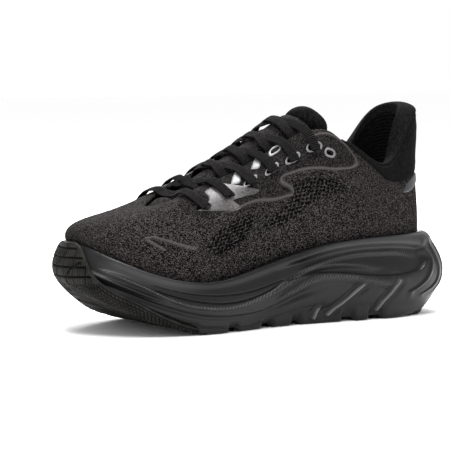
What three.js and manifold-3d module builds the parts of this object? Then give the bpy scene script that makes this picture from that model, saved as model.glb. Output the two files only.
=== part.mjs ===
// A cushioned running shoe, right foot, as separate pieces: sole unit, knit upper, collar, tongue and lace.
// Millimetres. +Z is up, the toe points to -X, the medial side is -Y, the lateral side is +Y.
import * as THREE from 'three';
import { mergeVertices } from 'three/addons/utils/BufferGeometryUtils.js';
import Module from 'manifold-3d';

const wasm = await Module();
wasm.setup();

// ---- driving dimensions -------------------------------------------------------------------------
const LENGTH = 300;            // length that the plan outline is drawn on, heel to toe
const GAP = 0.35;              // clearance between touching pieces
const TREAD = 2.3;             // rubber thickness under the sole
const KNIT = 2.2;              // knit upper thickness
const BACKING = 0.7;           // tape behind the eyelets
const FILM = 0.5;              // bonded film and eyelet rings
const COUNTER = 1.8;           // heel counter board
const LINING = 1.3;            // collar lining
const BOARD = 1.8;             // strobel board
const INSOLE = 5;              // removable sockliner
const TONGUE_FACE = 1.2;
const TONGUE_FOAM = 5.5;
const TONGUE_LINING = 1.0;
const TONGUE_BASE = 17;        // half width where it is sewn in
const TONGUE_HALF = 28;        // half width over most of its length
const TONGUE_TOP = 0.72;       // share of that width at the top edge
const LACE_WIDTH = 6.4;
const LACE_THICK = 1.3;
const SLOT_LENGTH = 8.8;       // eyelet slot, along the throat
const SLOT_WIDTH = 5;          // eyelet slot, across the throat
const RIM = 2.8;               // how much wider an eyelet ring is than its slot
const LACED = 6;               // eyelets the lace uses, counted from the toe; the seventh stays empty
const AGLET_LENGTH = 18;
const AGLET_RADIUS = 1.7;
const EDGE = 0.95;             // height on the upper of the throat edge
const TURN = 60;               // steps once round the upper, shared by all its layers
const RING = 64;               // steps once round the sole

// Eyelets, front to top: the middle of each slot on the upper, as (distance round, height).
const EYELET_AT = [[0.377, 0.66], [0.355, 0.7], [0.329, 0.72], [0.303, 0.72], [0.278, 0.73], [0.253, 0.785],
  [0.2315, 0.755]];
// Where the lace of each eyelet crosses the throat edge, as distance round.
const CROSSES_AT = [0.42, 0.386, 0.352, 0.323, 0.295, 0.268];
// Lace end on the sockliner, as (distance round, share of the half width).
const TUCK = [[0.31, 0.84], [0.33, 0.72], [0.355, 0.6], [0.375, 0.52], [0.392, 0.46]];

// ---- rails: twenty stations, 0 at the heel, 1-9 medial, 10 at the toe, 11-19 lateral -------------
// Each plan point is (distance from the heel, side); each list after it runs over the same stations.
const PLAN = [[0, 0], [7, -26], [30, -43.5], [66, -49], [104, -47.5], [142, -46.5], [180, -51], [218, -56],
  [255, -49], [283, -29], [294, -3], [283, 24], [258, 46], [224, 59], [186, 60], [148, 54], [108, 50],
  [68, 49], [32, 44], [8, 27]];
const BOTTOM_IN = [19, 15, 9, 8, 9, 10, 9, 8, 9, 10, 10, 10, 9, 8, 8, 9, 9, 8, 9, 15];
const BOTTOM_Z = [13, 6, 0, 0, 0, 0, 0, 1, 10, 22, 29, 25, 12, 2, 0, 0, 0, 0, 0, 6];
const WIDE_Z = [31, 30, 26, 25, 25, 22, 17, 17, 24, 35, 42, 38, 26, 19, 18, 20, 24, 25, 26, 30];
const TOP_IN = [18, 15.5, 9, 6, 5, 5, 5, 5, 5, 5.5, 5.5, 5.5, 5, 5, 5, 5, 5, 6, 9, 15.5];
const TOP_Z = [57, 57, 57, 56, 54, 48, 39, 34, 41, 54, 60, 54, 41, 35, 38, 45, 52, 56, 57, 57];
const FEATHER_IN = [22, 19.5, 13, 10.5, 9.5, 9.5, 9.5, 9.5, 9.5, 9, 8.5, 9, 9.5, 9.5, 9.5, 9.5, 9.5, 10.5, 13,
  19.5];
const FEATHER_Z = [54, 54, 54, 54, 51, 45, 36, 31, 38, 51, 57, 51, 38, 32, 35, 42, 49, 54, 54, 54];
const LOW = [[18, 0, 84], [22, -18, 84], [35, -34, 82], [66, -42, 80], [100, -44, 80], [138, -44, 78],
  [176, -47, 70], [216, -52, 60], [254, -46, 58], [288, -28, 70], [299, -3, 73], [288, 24, 70],
  [260, 43, 58], [224, 54, 58],
  [186, 56, 67], [148, 51, 74], [108, 46, 78], [68, 43, 80], [35, 35, 82], [22, 18, 84]];
const HIGH = [[23, 0, 112], [28, -16, 112], [42, -28, 106], [66, -36, 94], [96, -42, 102], [124, -42, 112],
  [152, -40, 107], [186, -41, 93], [222, -34, 83], [256, -18, 76], [269, -1, 76], [259, 18, 76],
  [226, 37, 82], [190, 43, 91],
  [156, 41, 104], [126, 42, 110], [98, 42, 101], [67, 37, 94], [42, 28, 106], [28, 16, 112]];
const TOPLINE = [[19, 0, 142], [24, -17, 140], [38, -28, 129], [60, -33, 104], [88, -33, 118], [112, -27, 132],
  [142, -20, 120], [170, -17, 105], [197, -14.5, 94], [217, -9, 84], [224, 0, 81], [217, 9, 84], [197, 15, 94],
  [171, 18, 105], [143, 21, 119], [113, 28, 131], [89, 34, 117], [61, 34, 104], [38, 28, 129], [24, 17, 140]];
// Crown of the tongue's face, front to top: (distance from the heel, height)
const CROWN = [[230, 74.5], [217, 82.5], [205, 89.5], [186, 101], [170, 109.5], [155, 117.5], [143, 124.5],
  [130, 132], [117, 140], [104, 145.5]];

// ---- curves and surfaces ------------------------------------------------------------------------
const UP = new THREE.Vector3(0, 0, 1);
const place = ([u, y, z]) => new THREE.Vector3(LENGTH / 2 - u, y, z);
const fraction = t => t - Math.floor(t);
const clamp01 = x => Math.min(1, Math.max(0, x));
// Smooth step from 0 at x = a to 1 at x = b, either way round.
function ease(a, b, x) {
  const k = clamp01((x - a) / (b - a));
  return k * k * (3 - 2 * k);
}
const mix = (a, b, k) => a + (b - a) * k;

// Cubic B-spline coefficients of a closed curve through the points.
function closedSpline(points) {
  let coefficients = points;
  for (let pass = 0; pass < 40; pass += 1) {
    coefficients = points.map((point, i) => {
      const before = coefficients[(i + points.length - 1) % points.length];
      const after = coefficients[(i + 1) % points.length];
      return point.clone().multiplyScalar(6).sub(before).sub(after).divideScalar(4);
    });
  }
  return coefficients;
}

// Point of the closed spline, t from 0 to 1 once round.
function along(coefficients, t) {
  const count = coefficients.length;
  const position = fraction(t) * count;
  const i = Math.floor(position);
  const f = position - i;
  const weights = [(1 - f) ** 3, 3 * f ** 3 - 6 * f ** 2 + 4, -3 * f ** 3 + 3 * f ** 2 + 3 * f + 1, f ** 3];
  const sum = new THREE.Vector3();
  weights.forEach((w, k) => sum.addScaledVector(coefficients[(i + k - 1 + count) % count], w / 6));
  return sum;
}

// The plan outline moved inward station by station, at the given heights.
function insetRail(insets, heights) {
  return PLAN.map((point, i) => {
    const before = PLAN[(i + PLAN.length - 1) % PLAN.length];
    const after = PLAN[(i + 1) % PLAN.length];
    const direction = new THREE.Vector2(after[0] - before[0], after[1] - before[1]).normalize();
    const inward = new THREE.Vector2(-direction.y, direction.x);
    return place([point[0] + inward.x * insets[i], point[1] + inward.y * insets[i], heights[i]]);
  });
}

const noInset = PLAN.map(() => 0);
const rails = {
  bottom: closedSpline(insetRail(BOTTOM_IN, BOTTOM_Z.map(z => z + TREAD + GAP))),
  wide: closedSpline(insetRail(noInset, WIDE_Z)),
  top: closedSpline(insetRail(TOP_IN, TOP_Z)),
  feather: closedSpline(insetRail(FEATHER_IN, FEATHER_Z)),
  low: closedSpline(LOW.map(place)),
  high: closedSpline(HIGH.map(place)),
  topline: closedSpline(TOPLINE.map(place)),
};

// Bottom edge of the foam: never lower than the flat stretch that the rubber pads stand under.
function bottomEdge(t) {
  const point = along(rails.bottom, t);
  return point.setZ(Math.max(point.z, TREAD + GAP));
}

// Midsole side wall: a parabola from the bottom edge (v 0) through the widest line to the top lip (v 1).
function wall(t, v) {
  const bottom = bottomEdge(t);
  const top = along(rails.top, t);
  const handle = along(rails.wide, t).multiplyScalar(2);
  handle.addScaledVector(bottom, -0.5).addScaledVector(top, -0.5);
  const point = bottom.multiplyScalar((1 - v) ** 2);
  return point.addScaledVector(handle, 2 * v * (1 - v)).addScaledVector(top, v * v);
}

// Outer face of the upper: a cubic Bezier from the feather line (v 0) to the topline and throat edge (v 1).
function upper(t, v) {
  const sum = along(rails.feather, t).multiplyScalar((1 - v) ** 3);
  sum.addScaledVector(along(rails.low, t), 3 * (1 - v) ** 2 * v);
  sum.addScaledVector(along(rails.high, t), 3 * (1 - v) * v * v);
  return sum.addScaledVector(along(rails.topline, t), v ** 3);
}

// Outward unit normal of a surface over (t, v).
function normalOf(surface, t, v) {
  const step = 0.002;
  const low = Math.max(0, v - step);
  const high = Math.min(1, v + step);
  const acrossV = surface(t, high).sub(surface(t, low));
  const acrossT = surface(t + step, v).sub(surface(t - step, v));
  return acrossV.cross(acrossT).normalize();
}

const offset = (surface, t, v, d) => surface(t, v).addScaledVector(normalOf(surface, t, v), d);

const at = step => step / TURN;

// ---- closed bodies ------------------------------------------------------------------------------
function signedVolume(positions, index) {
  let sum = 0;
  const a = new THREE.Vector3();
  const b = new THREE.Vector3();
  const c = new THREE.Vector3();
  for (let k = 0; k < index.length; k += 3) {
    a.fromArray(positions, index[k] * 3);
    b.fromArray(positions, index[k + 1] * 3);
    c.fromArray(positions, index[k + 2] * 3);
    sum += a.dot(b.cross(c)) / 6;
  }
  return sum;
}

function bodyFrom(points, index) {
  const positions = points.flatMap(p => [p.x, p.y, p.z]);
  const outward = signedVolume(positions, index) > 0;
  const turned = outward ? index : index.map((_, k) => index[k - (k % 3) + [0, 2, 1][k % 3]]);
  const geometry = new THREE.BufferGeometry();
  geometry.setAttribute('position', new THREE.Float32BufferAttribute(positions, 3));
  geometry.setIndex(turned);
  return mergeVertices(geometry, 1e-4);
}

// A closed body between two grids of points; the rows wrap round when the piece is a full ring.
function between(outer, inner, wraps = false) {
  const rows = outer.length;
  const columns = outer[0].length;
  const index = [];
  const id = (side, i, j) => side * rows * columns + (i % rows) * columns + j;
  const quad = (a, b, c, d) => index.push(a, b, c, a, c, d);
  const last = columns - 1;
  for (let i = 0; i < (wraps ? rows : rows - 1); i += 1) {
    for (let j = 0; j < last; j += 1) {
      quad(id(0, i, j), id(0, i + 1, j), id(0, i + 1, j + 1), id(0, i, j + 1));
      quad(id(1, i, j), id(1, i, j + 1), id(1, i + 1, j + 1), id(1, i + 1, j));
    }
    quad(id(0, i, 0), id(1, i, 0), id(1, i + 1, 0), id(0, i + 1, 0));
    quad(id(0, i, last), id(0, i + 1, last), id(1, i + 1, last), id(1, i, last));
  }
  for (let j = 0; j < last && !wraps; j += 1) {
    quad(id(0, 0, j), id(0, 0, j + 1), id(1, 0, j + 1), id(1, 0, j));
    quad(id(0, rows - 1, j), id(1, rows - 1, j), id(1, rows - 1, j + 1), id(0, rows - 1, j + 1));
  }
  return bodyFrom([...outer.flat(2), ...inner.flat(2)], index);
}

const steps = (from, to, count) => Array.from({ length: count + 1 }, (_, i) => mix(from, to, i / count));

// A layer of the surface from offset `inside` to `outside`, which may be numbers or functions of (t, v).
function layer(surface, { t, v, inside, outside, up, wraps = false }) {
  const across = Math.max(1, Math.round(Math.abs(t[1] - t[0]) * TURN));
  const value = (d, a, b) => (typeof d === 'function' ? d(a, b) : d);
  const bound = (limit, a) => (typeof limit === 'function' ? limit(a) : limit);
  const columns = wraps ? steps(t[0], t[1], across).slice(0, -1) : steps(t[0], t[1], across);
  const grid = d => columns.map(a => steps(bound(v[0], a), bound(v[1], a), up)
    .map(b => offset(surface, a, b, value(d, a, b))));
  return between(grid(outside), grid(inside), wraps);
}

// A solid from closed rings, bottom to top; each end is closed by strips straight across the shoe.
function stack(rings) {
  const count = rings[0].length;
  const index = [];
  const id = (ring, i) => ring * count + ((i + count) % count);
  for (let r = 0; r < rings.length - 1; r += 1) {
    for (let i = 0; i < count; i += 1) {
      index.push(id(r, i), id(r, i + 1), id(r + 1, i + 1), id(r, i), id(r + 1, i + 1), id(r + 1, i));
    }
  }
  for (const [ring, flip] of [[0, true], [rings.length - 1, false]]) {
    for (let i = 0; i < count / 2; i += 1) {
      const corners = [id(ring, i), id(ring, i + 1), id(ring, -i - 1), id(ring, -i)];
      const strips = [[0, 1, 2], [0, 2, 3]].map(f => f.map(k => corners[k]))
        .filter(f => new Set(f).size === 3);
      strips.forEach(f => index.push(...(flip ? f.reverse() : f)));
    }
  }
  return bodyFrom(rings.flat(), index);
}

// ---- joining and cutting ------------------------------------------------------------------------
function solid(geometry) {
  const mesh = new wasm.Mesh({
    numProp: 3,
    vertProperties: Float32Array.from(geometry.attributes.position.array),
    triVerts: Uint32Array.from(geometry.index.array),
  });
  return new wasm.Manifold(mesh);
}

function geometryOf(manifold) {
  const mesh = manifold.getMesh();
  const geometry = new THREE.BufferGeometry();
  geometry.setAttribute('position', new THREE.Float32BufferAttribute(mesh.vertProperties, 3));
  geometry.setIndex(Array.from(mesh.triVerts));
  return geometry;
}

function positionOnly(geometry) {
  geometry.deleteAttribute('normal');
  geometry.deleteAttribute('uv');
  return mergeVertices(geometry, 1e-4);
}

const cut = (geometry, tools) => geometryOf(
  tools.reduce((body, tool) => body.subtract(solid(tool)), solid(geometry)),
);

// ---- the scene ----------------------------------------------------------------------------------
const shoe = new THREE.Group();
function add(name, geometry, color, roughness, metalness = 0) {
  const mesh = new THREE.Mesh(geometry, new THREE.MeshStandardMaterial({ color, roughness, metalness }));
  mesh.name = name;
  shoe.add(mesh);
}
const RUBBER = '#2c2b29';
const FOAM = '#39393a';
const KNIT_COLOR = '#343233';
const FILM_COLOR = '#6a6767';
const TAPE_COLOR = '#b9b9b8';
const LACE_COLOR = '#242424';
const LINING_COLOR = '#181818';
const sides = { medial: t => t, lateral: t => 1 - t };

// ---- sole unit ----------------------------------------------------------------------------------
const ringOf = f => Array.from({ length: RING }, (_, i) => f(i / RING));

// Feather line moved inward in plan and up by dz: the edge of everything that lies on the footbed.
function footbed(t, inset, dz) {
  const tangent = along(rails.feather, t + 0.002).sub(along(rails.feather, t - 0.002)).setZ(0).normalize();
  const inward = tangent.clone().cross(UP).normalize();
  return along(rails.feather, t).addScaledVector(inward, inset).addScaledVector(UP, dz);
}

add('midsole', stack([
  ...steps(0, 1, 7).map(v => ringOf(t => wall(t, v))),
  ringOf(t => footbed(t, -2.2, 0.6)),
  ringOf(t => footbed(t, -1, -2 * GAP)),
]), FOAM, 0.55);

const restInset = t => mix(6.2, 10.5, ease(0.33, 0.22, Math.min(t, 1 - t)));
const BOARD_INSET = KNIT + GAP * 2;
add('strobel_board', stack([
  ringOf(t => footbed(t, BOARD_INSET, 0)),
  ringOf(t => footbed(t, BOARD_INSET, BOARD)),
]), '#8c8a84', 0.9);
add('sockliner', stack([
  ringOf(t => footbed(t, restInset(t), BOARD + 2 * GAP)),
  ringOf(t => footbed(t, restInset(t), BOARD + 2 * GAP + INSOLE)),
]), '#1f1f20', 0.9);

// Top of the sockliner, w from medial (-1) to lateral (1), raised by lift.
function sockTop(t, w, lift) {
  const rim = side => footbed(side, restInset(side), BOARD + 2 * GAP + INSOLE + lift);
  return rim(t).lerp(rim(1 - t), (w + 1) / 2);
}

// Underside between the two bottom edges: t from heel to toe, w from medial (-1) to lateral (1).
function underside(t, w) {
  return bottomEdge(t).lerp(bottomEdge(1 - t), (w + 1) / 2);
}

function pad(t, w, across = 10, up = 6) {
  const grid = drop => steps(t[0], t[1], across).map(a => steps(w[0], w[1], up)
    .map(b => underside(a, b).addScaledVector(UP, -drop)));
  return between(grid(GAP), grid(GAP + TREAD));
}

add('outsole_heel_medial', pad([0.05, 0.165], [-0.97, -0.28]), RUBBER, 0.75);
add('outsole_heel_lateral', pad([0.05, 0.165], [0.28, 0.97]), RUBBER, 0.75);
add('outsole_heel_centre', pad([0.06, 0.12], [-0.2, 0.2], 5, 3), RUBBER, 0.75);
add('outsole_midfoot_lateral', pad([0.2, 0.262], [0.3, 0.97], 6), RUBBER, 0.75);
add('outsole_forefoot_lateral', pad([0.272, 0.345], [0.3, 0.97], 8), RUBBER, 0.75);
add('outsole_forefoot_medial', pad([0.29, 0.345], [-0.97, -0.3], 6), RUBBER, 0.75);
add('outsole_ball', pad([0.29, 0.345], [-0.22, 0.22], 6), RUBBER, 0.75);

// The sole's outside moved out by d: the toe rubber is the space between two of these.
function soleOutside(d, top) {
  const lowered = t => {
    const outward = normalOf(wall, t, 0).setZ(0).normalize();
    return bottomEdge(t).addScaledVector(outward, d * 0.7).addScaledVector(UP, -d);
  };
  return stack([ringOf(lowered), ...steps(0, top, 7).map(v => ringOf(t => offset(wall, t, v, d)))]);
}

// The toe rubber runs under the forefoot and climbs the toe in one piece. Its edge is this side outline,
// as (distance from the heel, height), pulled right across the shoe.
const TOE_EDGE = [[222, -5], [223, 4.5], [240, 8], [253, 13.5], [268, 22], [281, 31], [287, 42], [287, 62],
  [312, 62], [312, -5]];
function acrossPrism(outline) {
  const shape = new THREE.Shape(outline.map(([u, z]) => new THREE.Vector2(LENGTH / 2 - u, z)));
  const body = positionOnly(new THREE.ExtrudeGeometry(shape, { depth: 160, bevelEnabled: false }));
  return body.rotateX(Math.PI / 2).translate(0, 80, 0);
}
const toeShell = solid(soleOutside(GAP + TREAD, 0.92)).subtract(solid(soleOutside(GAP, 1)));
add('outsole_toe', geometryOf(toeShell.intersect(solid(acrossPrism(TOE_EDGE)))), RUBBER, 0.75);

// ---- upper --------------------------------------------------------------------------------------
// Distance round from the heel, 0 to 0.5, on either side.
const round = t => Math.min(fraction(t), 1 - fraction(t));
const COLLAR_END = at(13);     // the padded collar runs this far round on each side
const collarTop = t => mix(0.92, EDGE, ease(COLLAR_END, COLLAR_END + 1 / TURN, round(t)));
const padDepth = (t, v) => 7.4 + 4.4 * ease(0.2, 0.1, round(t)) * ease(0.25, 0.6, v);

function eyeletFrame(side, row) {
  const t = sides[side](EYELET_AT[row - 1][0]);
  const v = EYELET_AT[row - 1][1];
  const out = normalOf(upper, t, v);
  const forward = upper(t + 0.004, v).sub(upper(t - 0.004, v)).normalize();
  const up = out.clone().cross(forward).normalize();
  return { t, v, out, forward, up, centre: upper(t, v) };
}

function slotShape(length, width) {
  const r = width / 2;
  const half = length / 2 - r;
  const shape = new THREE.Shape();
  shape.absarc(half, 0, r, -Math.PI / 2, Math.PI / 2, false);
  shape.absarc(-half, 0, r, Math.PI / 2, Math.PI * 1.5, false);
  return shape;
}

// A slot-shaped prism or ring standing on the upper, from offset `from` to `to`.
function slotBody(frame, outline, hole, from, to) {
  const shape = slotShape(outline[0], outline[1]);
  if (hole) {
    shape.holes.push(new THREE.Path(slotShape(hole[0], hole[1]).getPoints(2)));
  }
  const options = { depth: to - from, bevelEnabled: false, curveSegments: 2 };
  const body = positionOnly(new THREE.ExtrudeGeometry(shape, options));
  const basis = new THREE.Matrix4().makeBasis(frame.forward, frame.up, frame.out);
  basis.setPosition(frame.centre.clone().addScaledVector(frame.out, from));
  return body.applyMatrix4(basis);
}

const rows = EYELET_AT.map((_, i) => i + 1);
const slots = {};
const wideSlots = {};
Object.keys(sides).forEach(side => {
  const slotsOf = spare => rows.map(row => slotBody(
    eyeletFrame(side, row), [SLOT_LENGTH + spare, SLOT_WIDTH + spare], null, -9, 4,
  ));
  slots[side] = slotsOf(0);
  wideSlots[side] = slotsOf(2.2);
});

const knit = layer(upper, {
  t: [0, 1], v: [0, collarTop], inside: -KNIT, outside: 0, up: 9, wraps: true,
});
add('knit_upper', cut(knit, [...slots.medial, ...slots.lateral]), KNIT_COLOR, 0.95);

const BEHIND = KNIT + GAP;
add('heel_counter', layer(upper, {
  t: [at(-9), at(9)], v: [0.05, 0.5], inside: -BEHIND - COUNTER, outside: -BEHIND, up: 5,
}), '#4a4a4a', 0.6);
add('toe_puff', layer(upper, {
  t: [at(26), at(34)], v: [0.07, 0.5], inside: -BEHIND - 1.1, outside: -BEHIND, up: 5,
}), '#4a4a4a', 0.7);
const FOAM_OUT = BEHIND + COUNTER + GAP;
add('collar_foam', layer(upper, {
  t: [at(-12), at(12)],
  v: [0.1, 0.9],
  inside: (t, v) => -padDepth(t, v) + LINING + 2 * GAP,
  outside: -FOAM_OUT,
  up: 5,
}), '#2a2a2a', 0.95);
add('collar_lining', layer(upper, {
  t: [at(-13), at(13)],
  v: [0.08, 0.92],
  inside: (t, v) => -padDepth(t, v),
  outside: (t, v) => -padDepth(t, v) + LINING,
  up: 6,
}), LINING_COLOR, 0.95);
add('collar_binding', layer(upper, {
  t: [-COLLAR_END, COLLAR_END], v: [0.942, 1], inside: t => -padDepth(t, 1), outside: 0.4, up: 2,
}), '#242424', 0.8);
add('collar_wrap', layer(upper, {
  t: [at(-11), at(11)],
  v: [t => mix(0.74, 0.86, ease(0.05, 0.18, round(t))), 0.925],
  inside: GAP,
  outside: GAP + 0.7,
  up: 2,
}), '#2a2a2a', 0.6);

Object.entries(sides).forEach(([side, turn]) => {
  const span = [turn(0.2215), turn(0.395)];
  const backing = layer(upper, {
    t: span, v: [0.56, 0.9], inside: -BEHIND - BACKING - 0.15, outside: -BEHIND - 0.15, up: 4,
  });
  add(`eyestay_backing_${side}`, cut(backing, wideSlots[side]), '#202020', 0.9);
  const film = layer(upper, {
    t: [turn(0.342), turn(0.39)], v: [0.56, 0.86], inside: GAP, outside: GAP + FILM, up: 6,
  });
  add(`film_patch_${side}`, cut(film, slots[side].slice(0, 2)), FILM_COLOR, 0.45);
  rows.slice(2).forEach(row => {
    const outline = [SLOT_LENGTH + RIM, SLOT_WIDTH + RIM];
    const ring = slotBody(eyeletFrame(side, row), outline, [SLOT_LENGTH, SLOT_WIDTH], GAP, GAP + FILM);
    add(`eyelet_ring_${side}_${row}`, ring, TAPE_COLOR, 0.4);
  });
  add(`heel_badge_${side}`, layer(upper, {
    t: [turn(at(4)), turn(at(6))], v: [0.42, 0.52], inside: GAP, outside: GAP + 0.6, up: 3,
  }), '#55565a', 0.4);
});

// ---- tongue -------------------------------------------------------------------------------------
const crownCurve = new THREE.CatmullRomCurve3(CROWN.map(([u, z]) => place([u, 0, z])), false, 'centripetal');
const tongueHalf = s => mix(TONGUE_BASE, TONGUE_HALF, ease(0, 0.55, s)) * mix(1, TONGUE_TOP, ease(0.85, 1, s));
// Fall of the tongue's face per square millimetre from the crown.
const arch = s => mix(0.062, 0.024, ease(0.66, 0.98, s));

// Tongue layer surface: s from the sewn base (0) to the top (1), w across from medial (-1) to lateral (1).
function tonguePoint(s, w, depth) {
  const y = w * (tongueHalf(s) - 0.2 * depth);
  const tangent = crownCurve.getTangent(s);
  const rise = new THREE.Vector3(-tangent.z, 0, tangent.x).normalize();
  if (rise.z < 0) rise.negate();
  const slope = 2 * arch(s) * y;
  const normal = rise.clone().add(new THREE.Vector3(0, slope, 0)).normalize();
  return crownCurve.getPoint(s).add(new THREE.Vector3(0, y, 0)).addScaledVector(rise, -arch(s) * y * y)
    .addScaledVector(normal, -depth);
}

function tongueLayer(from, to, s, w, rowCount = 14, across = 10) {
  const grid = depth => steps(s[0], s[1], rowCount)
    .map(a => steps(w[0], w[1], across).map(b => tonguePoint(a, b, depth)));
  return between(grid(from), grid(to));
}

const foamTop = TONGUE_FACE + 1.4 * GAP;
const liningTop = foamTop + TONGUE_FOAM + GAP;
add('tongue_face', tongueLayer(0, TONGUE_FACE, [0, 0.86], [-1, 1]), KNIT_COLOR, 0.95);
const liningEnd = liningTop + TONGUE_LINING;
add('tongue_foam', tongueLayer(foamTop, foamTop + TONGUE_FOAM, [0.06, 0.86], [-0.94, 0.94]), '#2a2a2a', 0.95);
add('tongue_lining', tongueLayer(liningTop, liningEnd, [0.02, 0.86], [-0.98, 0.98]), LINING_COLOR, 0.95);
add('tongue_top_pad', tongueLayer(-1, liningEnd, [0.872, 1], [-1, 1], 6), '#1a1a1a', 0.9);

// ---- lace ---------------------------------------------------------------------------------------
const OUTER_RUN = GAP * 2 + FILM + LACE_THICK / 2 + 0.6;     // lace centre over the outer face
const INNER_RUN = -BEHIND - BACKING - GAP - LACE_THICK / 2 - 0.5;
const BEND = (OUTER_RUN - INNER_RUN) / 2;                    // radius of the turn through a slot
const TURN_BACK = 3;                                       // turn centre, above the slot's middle
const UNDER_LIFT = 1.2;                                      // lace centre over the tongue's crown
const OVER_LIFT = UNDER_LIFT + LACE_THICK + 0.6;

// Place along the throat edge for a row, or for a point between two rows.
function edgeT(row) {
  const i = Math.min(Math.floor(row), LACED - 1);
  return mix(CROSSES_AT[i - 1], CROSSES_AT[i], row - i);
}

// Arch across the throat at row position `row`: w from medial (-1) to lateral (1), raised by lift.
function instep(row, w, lift) {
  const t = edgeT(row);
  const medial = upper(t, EDGE);
  const lateral = upper(1 - t, EDGE);
  const middle = medial.clone().lerp(lateral, 0.5);
  const crown = crownAt(middle.x);
  const bow = crown.clone().sub(middle).setY(0);
  const point = medial.clone().lerp(lateral, (w + 1) / 2).addScaledVector(bow, 1 - w * w);
  const chord = lateral.clone().sub(medial).multiplyScalar(0.5).addScaledVector(bow, -2 * w);
  const runway = crownCurve.getTangent(0.5);
  const normal = runway.clone().cross(chord).normalize();
  if (normal.z < 0) normal.negate();
  return { point: point.addScaledVector(normal, lift), normal };
}

// Point of the tongue's crown that lies squarely over the given x on the throat's mid line.
function crownAt(x) {
  const samples = crownCurve.getPoints(80);
  return samples.reduce((best, p) => (Math.abs(p.x - x) < Math.abs(best.x - x) ? p : best)).clone();
}

// The half turn from the outer run, through the slot, to the inner run; sign turns the lace's own face.
function throughSlot(side, row, sign) {
  const frame = eyeletFrame(side, row);
  const middle = frame.centre.clone().addScaledVector(frame.up, TURN_BACK)
    .addScaledVector(frame.out, (OUTER_RUN + INNER_RUN) / 2);
  return steps(0, Math.PI, 6).map(angle => {
    const normal = frame.out.clone().multiplyScalar(Math.cos(angle));
    normal.addScaledVector(frame.up, -Math.sin(angle));
    return { point: middle.clone().addScaledVector(normal, BEND), normal: normal.multiplyScalar(sign) };
  });
}

// Stops on a run over or under the upper between an eyelet and a place near the edge.
function run(side, row, edgePlace, d, shares) {
  const [t, v] = EYELET_AT[row - 1];
  return shares.map(k => {
    const a = sides[side](mix(t, edgePlace, k));
    const b = mix(v, EDGE, k);
    return { point: offset(upper, a, b, d), normal: normalOf(upper, a, b) };
  });
}

// One crossing: out from under the edge between two rows and over the far edge to the next eyelet.
function crossing(side, row, lift, sign) {
  const hand = side === 'medial' ? 1 : -1;
  const farSide = side === 'medial' ? 'lateral' : 'medial';
  const t = sides[side](edgeT(row + 0.5));
  const exitNormal = normalOf(upper, t, EDGE);
  const exitUp = upper(t, EDGE).sub(upper(t, EDGE - 0.03)).normalize();
  const exit = upper(t, EDGE).addScaledVector(exitUp, 2.9).addScaledVector(exitNormal, -2.4);
  const stops = [
    ...run(side, row, edgeT(row + 0.5), INNER_RUN - 0.2, [0.4, 0.92]),
    { point: exit, normal: exitNormal },
    ...[-0.62, -0.3, 0, 0.3, 0.62].map(w => instep(row + 0.5 + 0.25 * (w + 1), w * hand, lift)),
    ...run(farSide, row + 1, edgeT(row + 1), OUTER_RUN, [0.95, 0.5]),
  ];
  return stops.map(stop => ({ point: stop.point, normal: stop.normal.clone().multiplyScalar(sign) }));
}

// The last slot and the end tucked inside: down the wall of the shoe and forward along the sockliner.
function tuckedEnd(side, sign) {
  const frame = eyeletFrame(side, LACED);
  const hand = side === 'medial' ? -1 : 1;
  const slot = [[3.4, OUTER_RUN, 0], [1.2, OUTER_RUN - 1.3, 0.9], [0, -1.2, 1.4], [-1.2, INNER_RUN + 1.2, 0.9],
    [-3.8, INNER_RUN, 0]].map(([rise, d, angle]) => ({
    point: frame.centre.clone().addScaledVector(frame.up, rise).addScaledVector(frame.out, d),
    normal: frame.out.clone().multiplyScalar(Math.cos(angle)).addScaledVector(frame.up, -Math.sin(angle)),
  }));
  const wallRun = [[0.258, 0.62], [0.265, 0.5], [0.275, 0.38], [0.287, 0.27]].map(([a, b]) => ({
    point: offset(upper, sides[side](a), b, INNER_RUN - 0.4), normal: normalOf(upper, sides[side](a), b),
  }));
  const floorRun = TUCK.map(([a, w]) => ({
    point: sockTop(a, w * hand, GAP + LACE_THICK / 2 + 0.5), normal: UP.clone(),
  }));
  return [...slot, ...wallRun, ...floorRun]
    .map(stop => ({ point: stop.point, normal: stop.normal.clone().multiplyScalar(sign) }));
}

// From the bar over the first eyelets, one strand up the shoe to the end tucked behind the last one.
function strand(firstSide, overFirst) {
  const stops = [];
  let side = firstSide;
  let sign = 1;
  for (let row = 1; row < LACED; row += 1) {
    stops.push(...throughSlot(side, row, sign));
    sign = -sign;
    const over = (row % 2 === 1) === overFirst;
    stops.push(...crossing(side, row, over ? OVER_LIFT : UNDER_LIFT, sign));
    side = side === 'medial' ? 'lateral' : 'medial';
  }
  return [...stops, ...tuckedEnd(side, sign)];
}

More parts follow.
